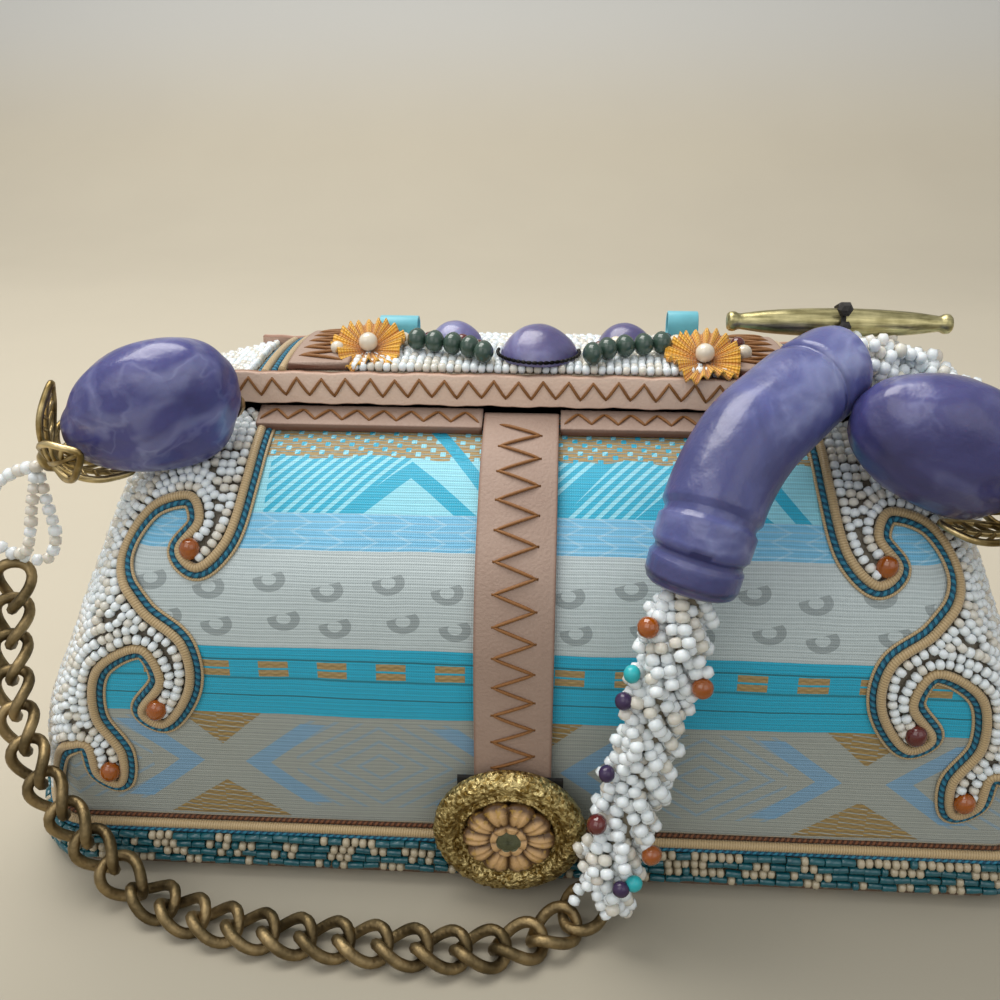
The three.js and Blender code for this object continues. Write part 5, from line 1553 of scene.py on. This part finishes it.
def make_rope():
    bead, chance = mm("rope_bead"), random.Random(11)
    fine = spline(ROPE, 1400)
    along, normal, binormal = frames(fine)
    total = length_of(fine)
    start, end = (int(np.linalg.norm(fine - np.array(p, float), axis=1).argmin()) for p in TUBE_SPAN)
    # A grey-brown core under the rope's beads: their thread, painted dark so the gaps between the beads show as
    # shade.
    core = Pile()
    core.tube(fine[4:-4:9], 2.9, 12)
    keep(core.make("rope_core", plain("string", "#8F8672", 0.8)), "white_beads", "bead_rope")
    white, accents = Spots(), {"amber": Spots(), "garnet": Spots(), "turquoise": Spots(), "plum": Spots()}
    levels_along = np.arange(2.0, total - 1.0, 3.1)
    for number, s in enumerate(levels_along):
        k = int(s / total * 1399)
        if start + 8 < k < end - 8:
            continue
        end_share = min(1.0, min(s, total - s) / 9.0)
        lower = 1.0 if s < total / 2 else -1.0
        for arm in range(6):
            start_angle = 2 * math.pi * (arm + 0.5 * (number % 2)) / 6 + chance.uniform(-0.2, 0.2)
            slant, curl = chance.uniform(1.5, 2.1), chance.uniform(0.15, 0.34)
            spread = chance.uniform(0.85, 1.15) * (0.7 + 0.3 * end_share)
            arm_beads = chance.choice((3, 4, 4, 4, 5))
            for step in range(arm_beads):
                a = start_angle + step * curl
                radial = normal[k] * math.cos(a) + binormal[k] * math.sin(a)
                reach = 3.3 + step * 1.05 * spread
                place = fine[k] + radial * reach - along[k] * (step * slant * lower)
                axis = radial * 0.8 - along[k] * slant * lower + np.cross(along[k], radial) * curl * 4
                scale = bead * chance.uniform(0.9, 1.08)
                white.add(place, axis, radial, (scale, scale, scale), chance.random() * 0.9)
    for name, share, turn_share in ROPE_DROPS:
        k = int(share * 1399)
        out = unit(np.array((turn_share, -1.0, 0.0)))
        out = unit(out - along[k] * np.dot(out, along[k]))
        size = bead * (1.5 if name in ("amber", "garnet") else 1.25)
        accents[name].add(fine[k] + out * 8.2, along[k], out, (size, size, size * 0.9))
    keep(white.make("rope_beads", template("field_bead", field_bead), glass_beads(), jitter=0.1, seed=3),
         "white_beads")
    looks = {"amber": plain("amber", tone("amber"), 0.1, Coat_Weight=0.8, Transmission_Weight=0.35),
             "garnet": plain("garnet", "#5E1F1C", 0.1, Coat_Weight=0.6),
             "turquoise": plain("turquoise", "#2FB7BE", 0.3, 0.2),
             "plum": plain("plum_chip", "#3B2A4E", 0.25, 0.2)}
    for name, spots in accents.items():
        if spots.places:
            drops = spots.make(f"rope_{name}", template("ball", ball), looks[name], jitter=0.5, seed=4)
            keep(drops, "white_beads")
    tube, tube_normal, tube_binormal = (part[start:end + 1] for part in (fine, normal, binormal))
    outside = ((0, 0.78), (0.012, 0.86), (0.03, 0.91), (0.085, 0.92), (0.1, 0.86), (0.115, 0.86),
               (0.13, 0.95), (0.2, 0.96), (0.215, 0.89), (0.23, 0.89), (0.25, 0.975), (0.5, 1.0),
               (0.8, 0.97), (0.825, 0.9), (0.84, 0.9), (0.86, 0.96), (0.96, 0.93), (0.99, 0.88), (1, 0.8))
    inside = ((1, 0.72), (0.96, 0.6), (0.5, 0.6), (0.04, 0.6), (0, 0.72))
    shares = np.array(outside)
    rows = np.unique(np.concatenate((np.linspace(0, 1, 70), shares[:, 0])))
    rings, turn = [], np.linspace(0, 2 * math.pi, 56, endpoint=False)

    def ring(share, size):
        k = int(round(share * (len(tube) - 1)))
        wobble = 1 + 0.012 * np.sin(turn * 3 + share * 9)
        round_way = np.cos(turn)[:, None] * tube_normal[k] + np.sin(turn)[:, None] * tube_binormal[k]
        return tube[k] + TUBE_RADIUS * size * wobble[:, None] * round_way

    for share in rows:
        rings.append(ring(share, float(np.interp(share, shares[:, 0], shares[:, 1]))))
    for share, size in inside:
        rings.append(ring(share, size))
    pile = Pile()
    pile.grid(np.array(rings), wrap=(True, True))
    keep(pile.make("tube_bead_stone", resin("tube")), "purple_resin", "tube_bead")


def make_loops():
    bead, chance = mm("rope_bead"), random.Random(17)
    for name, strands in LOOPS.items():
        facts = NUGGETS[name]
        hub, centre = np.array(facts["hub"], float), np.array(facts["centre"], float)
        seat = hub - unit(centre - hub) * 3.2
        spots = Spots()
        for points in strands:
            string_beads(spots, spline((seat, *points), 200), bead, chance)
        keep(spots.make(f"loop_beads_{name}", template("field_bead", field_bead), glass_beads(), jitter=0.08),
             "white_beads", f"bead_loops_{name}")


def make_bar():
    half = ((-24.5, 1.7), (-24.1, 2.1), (-22.8, 2.15), (-22, 1.75), (-20.7, 1.9), (-16, 2.5), (-8, 3.0))
    rows = (*half, (0, 3.15), *((-x, radius) for x, radius in reversed(half)))
    rings = rings_along_x(spline(np.column_stack((np.array(rows), np.zeros(len(rows)))), 80)[:, :2], 28)
    pile = Pile()
    pile.lathe(rings + np.array(BAR_PLACE))
    brass = finish("olive_brass", paint_olive, Metallic=1.0)
    keep(pile.make("brass_spindle", brass), "olive_brass", "spindle_bar")
    repaint("bar_tie", plain("black_cord", "#2B2725", 0.7, 0.3))


def make_stage():
    profile = [(-1.6, 0.0), (0.7, 0.0)]
    profile += [(0.7 + 0.5 * math.sin(a), 0.5 - 0.5 * math.cos(a))
                for a in np.linspace(0.05, math.pi / 2, 14)]
    profile.append((1.2, 2.4))
    points = np.array([[(x, y, z) for x in (-2.5, 2.5)] for y, z in profile]) / MM
    pile = Pile()
    pile.grid(points)
    sweep = pile.make("studio_sweep", finish("studio_paper", paint_floor, Roughness=0.9))
    for face in sweep.data.polygons:
        if face.normal.z < -0.01 or face.normal.y > 0.01:
            sweep.data.flip_normals()
            break
    scene = bpy.context.scene
    world = bpy.data.worlds.new("studio_world")
    world.use_nodes = True
    background = next(n for n in world.node_tree.nodes if n.type == "BACKGROUND")
    background.inputs["Color"].default_value = (0.97, 0.98, 1.0, 1.0)
    background.inputs["Strength"].default_value = 0.52
    scene.world = world
    scene.view_settings.view_transform = "Standard"
    for name, place, aim, size, power in (
            ("key", (-0.35, 0.26, 1.15), (0.0, 0.05, 0.05), 0.8, 13.0),
            ("fill", (0.6, -0.9, 0.7), (0, 0, 0.05), 0.9, 1.8),
            ("front", (-0.5, -0.8, 0.9), (0, 0, 0.08), 0.9, 3.6)):
        lamp = bpy.data.lights.new(name, "AREA")
        lamp.size, lamp.energy = size, power
        lamp.color = (1.0, 0.97, 0.93)
        light = bpy.data.objects.new(name, lamp)
        scene.collection.objects.link(light)
        light.location = place
        aim_z = unit(np.array(place) - np.array(aim))
        side = unit(np.cross(UP, aim_z))
        axes = np.column_stack((side, np.cross(aim_z, side), aim_z))
        light.rotation_euler = Matrix(axes.tolist()).to_euler()
    lens = bpy.data.cameras.new("camera")
    lens.lens, lens.sensor_width, lens.sensor_fit = 36.0, 36.0, "HORIZONTAL"
    lens.clip_start = 0.01
    camera = bpy.data.objects.new("camera", lens)
    camera.location = (0.0039, -0.2389, 0.1815)
    camera.rotation_euler = (math.radians(66.0), 0.0, math.radians(3.23))
    scene.collection.objects.link(camera)
    scene.camera = camera


# Operators and panel


class BuildStage(bpy.types.Operator):
    """Sets the pale floor, the soft lights and the camera."""

    bl_idname = "clutch.stage"
    bl_label = "Stage"

    def execute(self, context):
        make_stage()
        return {"FINISHED"}


class BuildBody(bpy.types.Operator):
    """Covers the hollow body in woven brocade."""

    bl_idname = "clutch.body"
    bl_label = "Brocade body"

    def execute(self, context):
        make_body()
        return {"FINISHED"}


class BuildBand(bpy.types.Operator):
    """Beads the base band and lays the cords above it."""

    bl_idname = "clutch.band"
    bl_label = "Base band"

    def execute(self, context):
        make_band()
        return {"FINISHED"}


class BuildScrolls(bpy.types.Operator):
    """Lays gold cord and blue braid along the scrolls and sets their drops."""

    bl_idname = "clutch.scrolls"
    bl_label = "Scroll cords"

    def execute(self, context):
        make_scrolls()
        return {"FINISHED"}


class BuildBeadFields(bpy.types.Operator):
    """Fills the four ends with rows of seed beads."""

    bl_idname = "clutch.bead_fields"
    bl_label = "Beaded fields"

    def execute(self, context):
        make_bead_fields()
        return {"FINISHED"}


class BuildLeather(bpy.types.Operator):
    """Cuts the strap, rim and end strips and stitches them."""

    bl_idname = "clutch.leather"
    bl_label = "Leather"

    def execute(self, context):
        make_leather()
        return {"FINISHED"}


class BuildButton(bpy.types.Operator):
    """Makes the glittered button and its carved flower."""

    bl_idname = "clutch.button"
    bl_label = "Button"

    def execute(self, context):
        make_button()
        return {"FINISHED"}


class BuildLid(bpy.types.Operator):
    """Covers the lid with beads, leather bands and cords."""

    bl_idname = "clutch.lid"
    bl_label = "Lid"

    def execute(self, context):
        make_lid()
        return {"FINISHED"}


class BuildJewels(bpy.types.Operator):
    """Sets cabochons, pleated flowers, ribbon loops and green beads."""

    bl_idname = "clutch.jewels"
    bl_label = "Lid jewels"

    def execute(self, context):
        make_jewels()
        return {"FINISHED"}


class BuildNuggets(bpy.types.Operator):
    """Makes the resin nuggets with their leaf caps."""

    bl_idname = "clutch.nuggets"
    bl_label = "Nuggets"

    def execute(self, context):
        make_nuggets()
        return {"FINISHED"}


class BuildChains(bpy.types.Operator):
    """Links both stretches of curb chain."""

    bl_idname = "clutch.chains"
    bl_label = "Chains"

    def execute(self, context):
        make_chains()
        return {"FINISHED"}


class BuildRope(bpy.types.Operator):
    """Threads the beaded rope through the tube bead."""

    bl_idname = "clutch.rope"
    bl_label = "Beaded rope"

    def execute(self, context):
        make_rope()
        return {"FINISHED"}


class BuildLoops(bpy.types.Operator):
    """Strings the bead loops between caps and chains."""

    bl_idname = "clutch.loops"
    bl_label = "Bead loops"

    def execute(self, context):
        make_loops()
        return {"FINISHED"}


class BuildBar(bpy.types.Operator):
    """Turns the brass bar that is tied to the rope."""

    bl_idname = "clutch.bar"
    bl_label = "Spindle bar"

    def execute(self, context):
        make_bar()
        return {"FINISHED"}


STEPS = (
    BuildStage, BuildBody, BuildBand, BuildScrolls, BuildBeadFields, BuildLeather, BuildButton,
    BuildLid, BuildJewels, BuildNuggets, BuildChains, BuildRope, BuildLoops, BuildBar,
)


class ClutchPanel(bpy.types.Panel):
    """Lists the clutch's sizes, colours and pieces."""

    bl_idname = "VIEW3D_PT_clutch"
    bl_label = "Clutch bag"
    bl_space_type = "VIEW_3D"
    bl_region_type = "UI"
    bl_category = "Clutch"

    def draw(self, context):
        for group in (context.scene.clutch_sizes, context.scene.clutch_colours):
            column = self.layout.column()
            for name in type(group).__annotations__:
                column.prop(group, name)
        for step in STEPS:
            self.layout.operator(step.bl_idname)


CLASSES = (ClutchSizes, ClutchColours, *STEPS, ClutchPanel)


def register():
    for item in CLASSES:
        bpy.utils.register_class(item)
    bpy.types.Scene.clutch_sizes = bpy.props.PointerProperty(type=ClutchSizes)
    bpy.types.Scene.clutch_colours = bpy.props.PointerProperty(type=ClutchColours)


def unregister():
    del bpy.types.Scene.clutch_sizes
    del bpy.types.Scene.clutch_colours
    for item in reversed(CLASSES):
        bpy.utils.unregister_class(item)


def main():
    register()
    for step in STEPS:
        area, name = step.bl_idname.split(".")
        getattr(getattr(bpy.ops, area), name)()
    for piece in TEMPLATES.values():
        bpy.data.objects.remove(piece)
    TEMPLATES.clear()


if __name__ == "__main__":
    main()
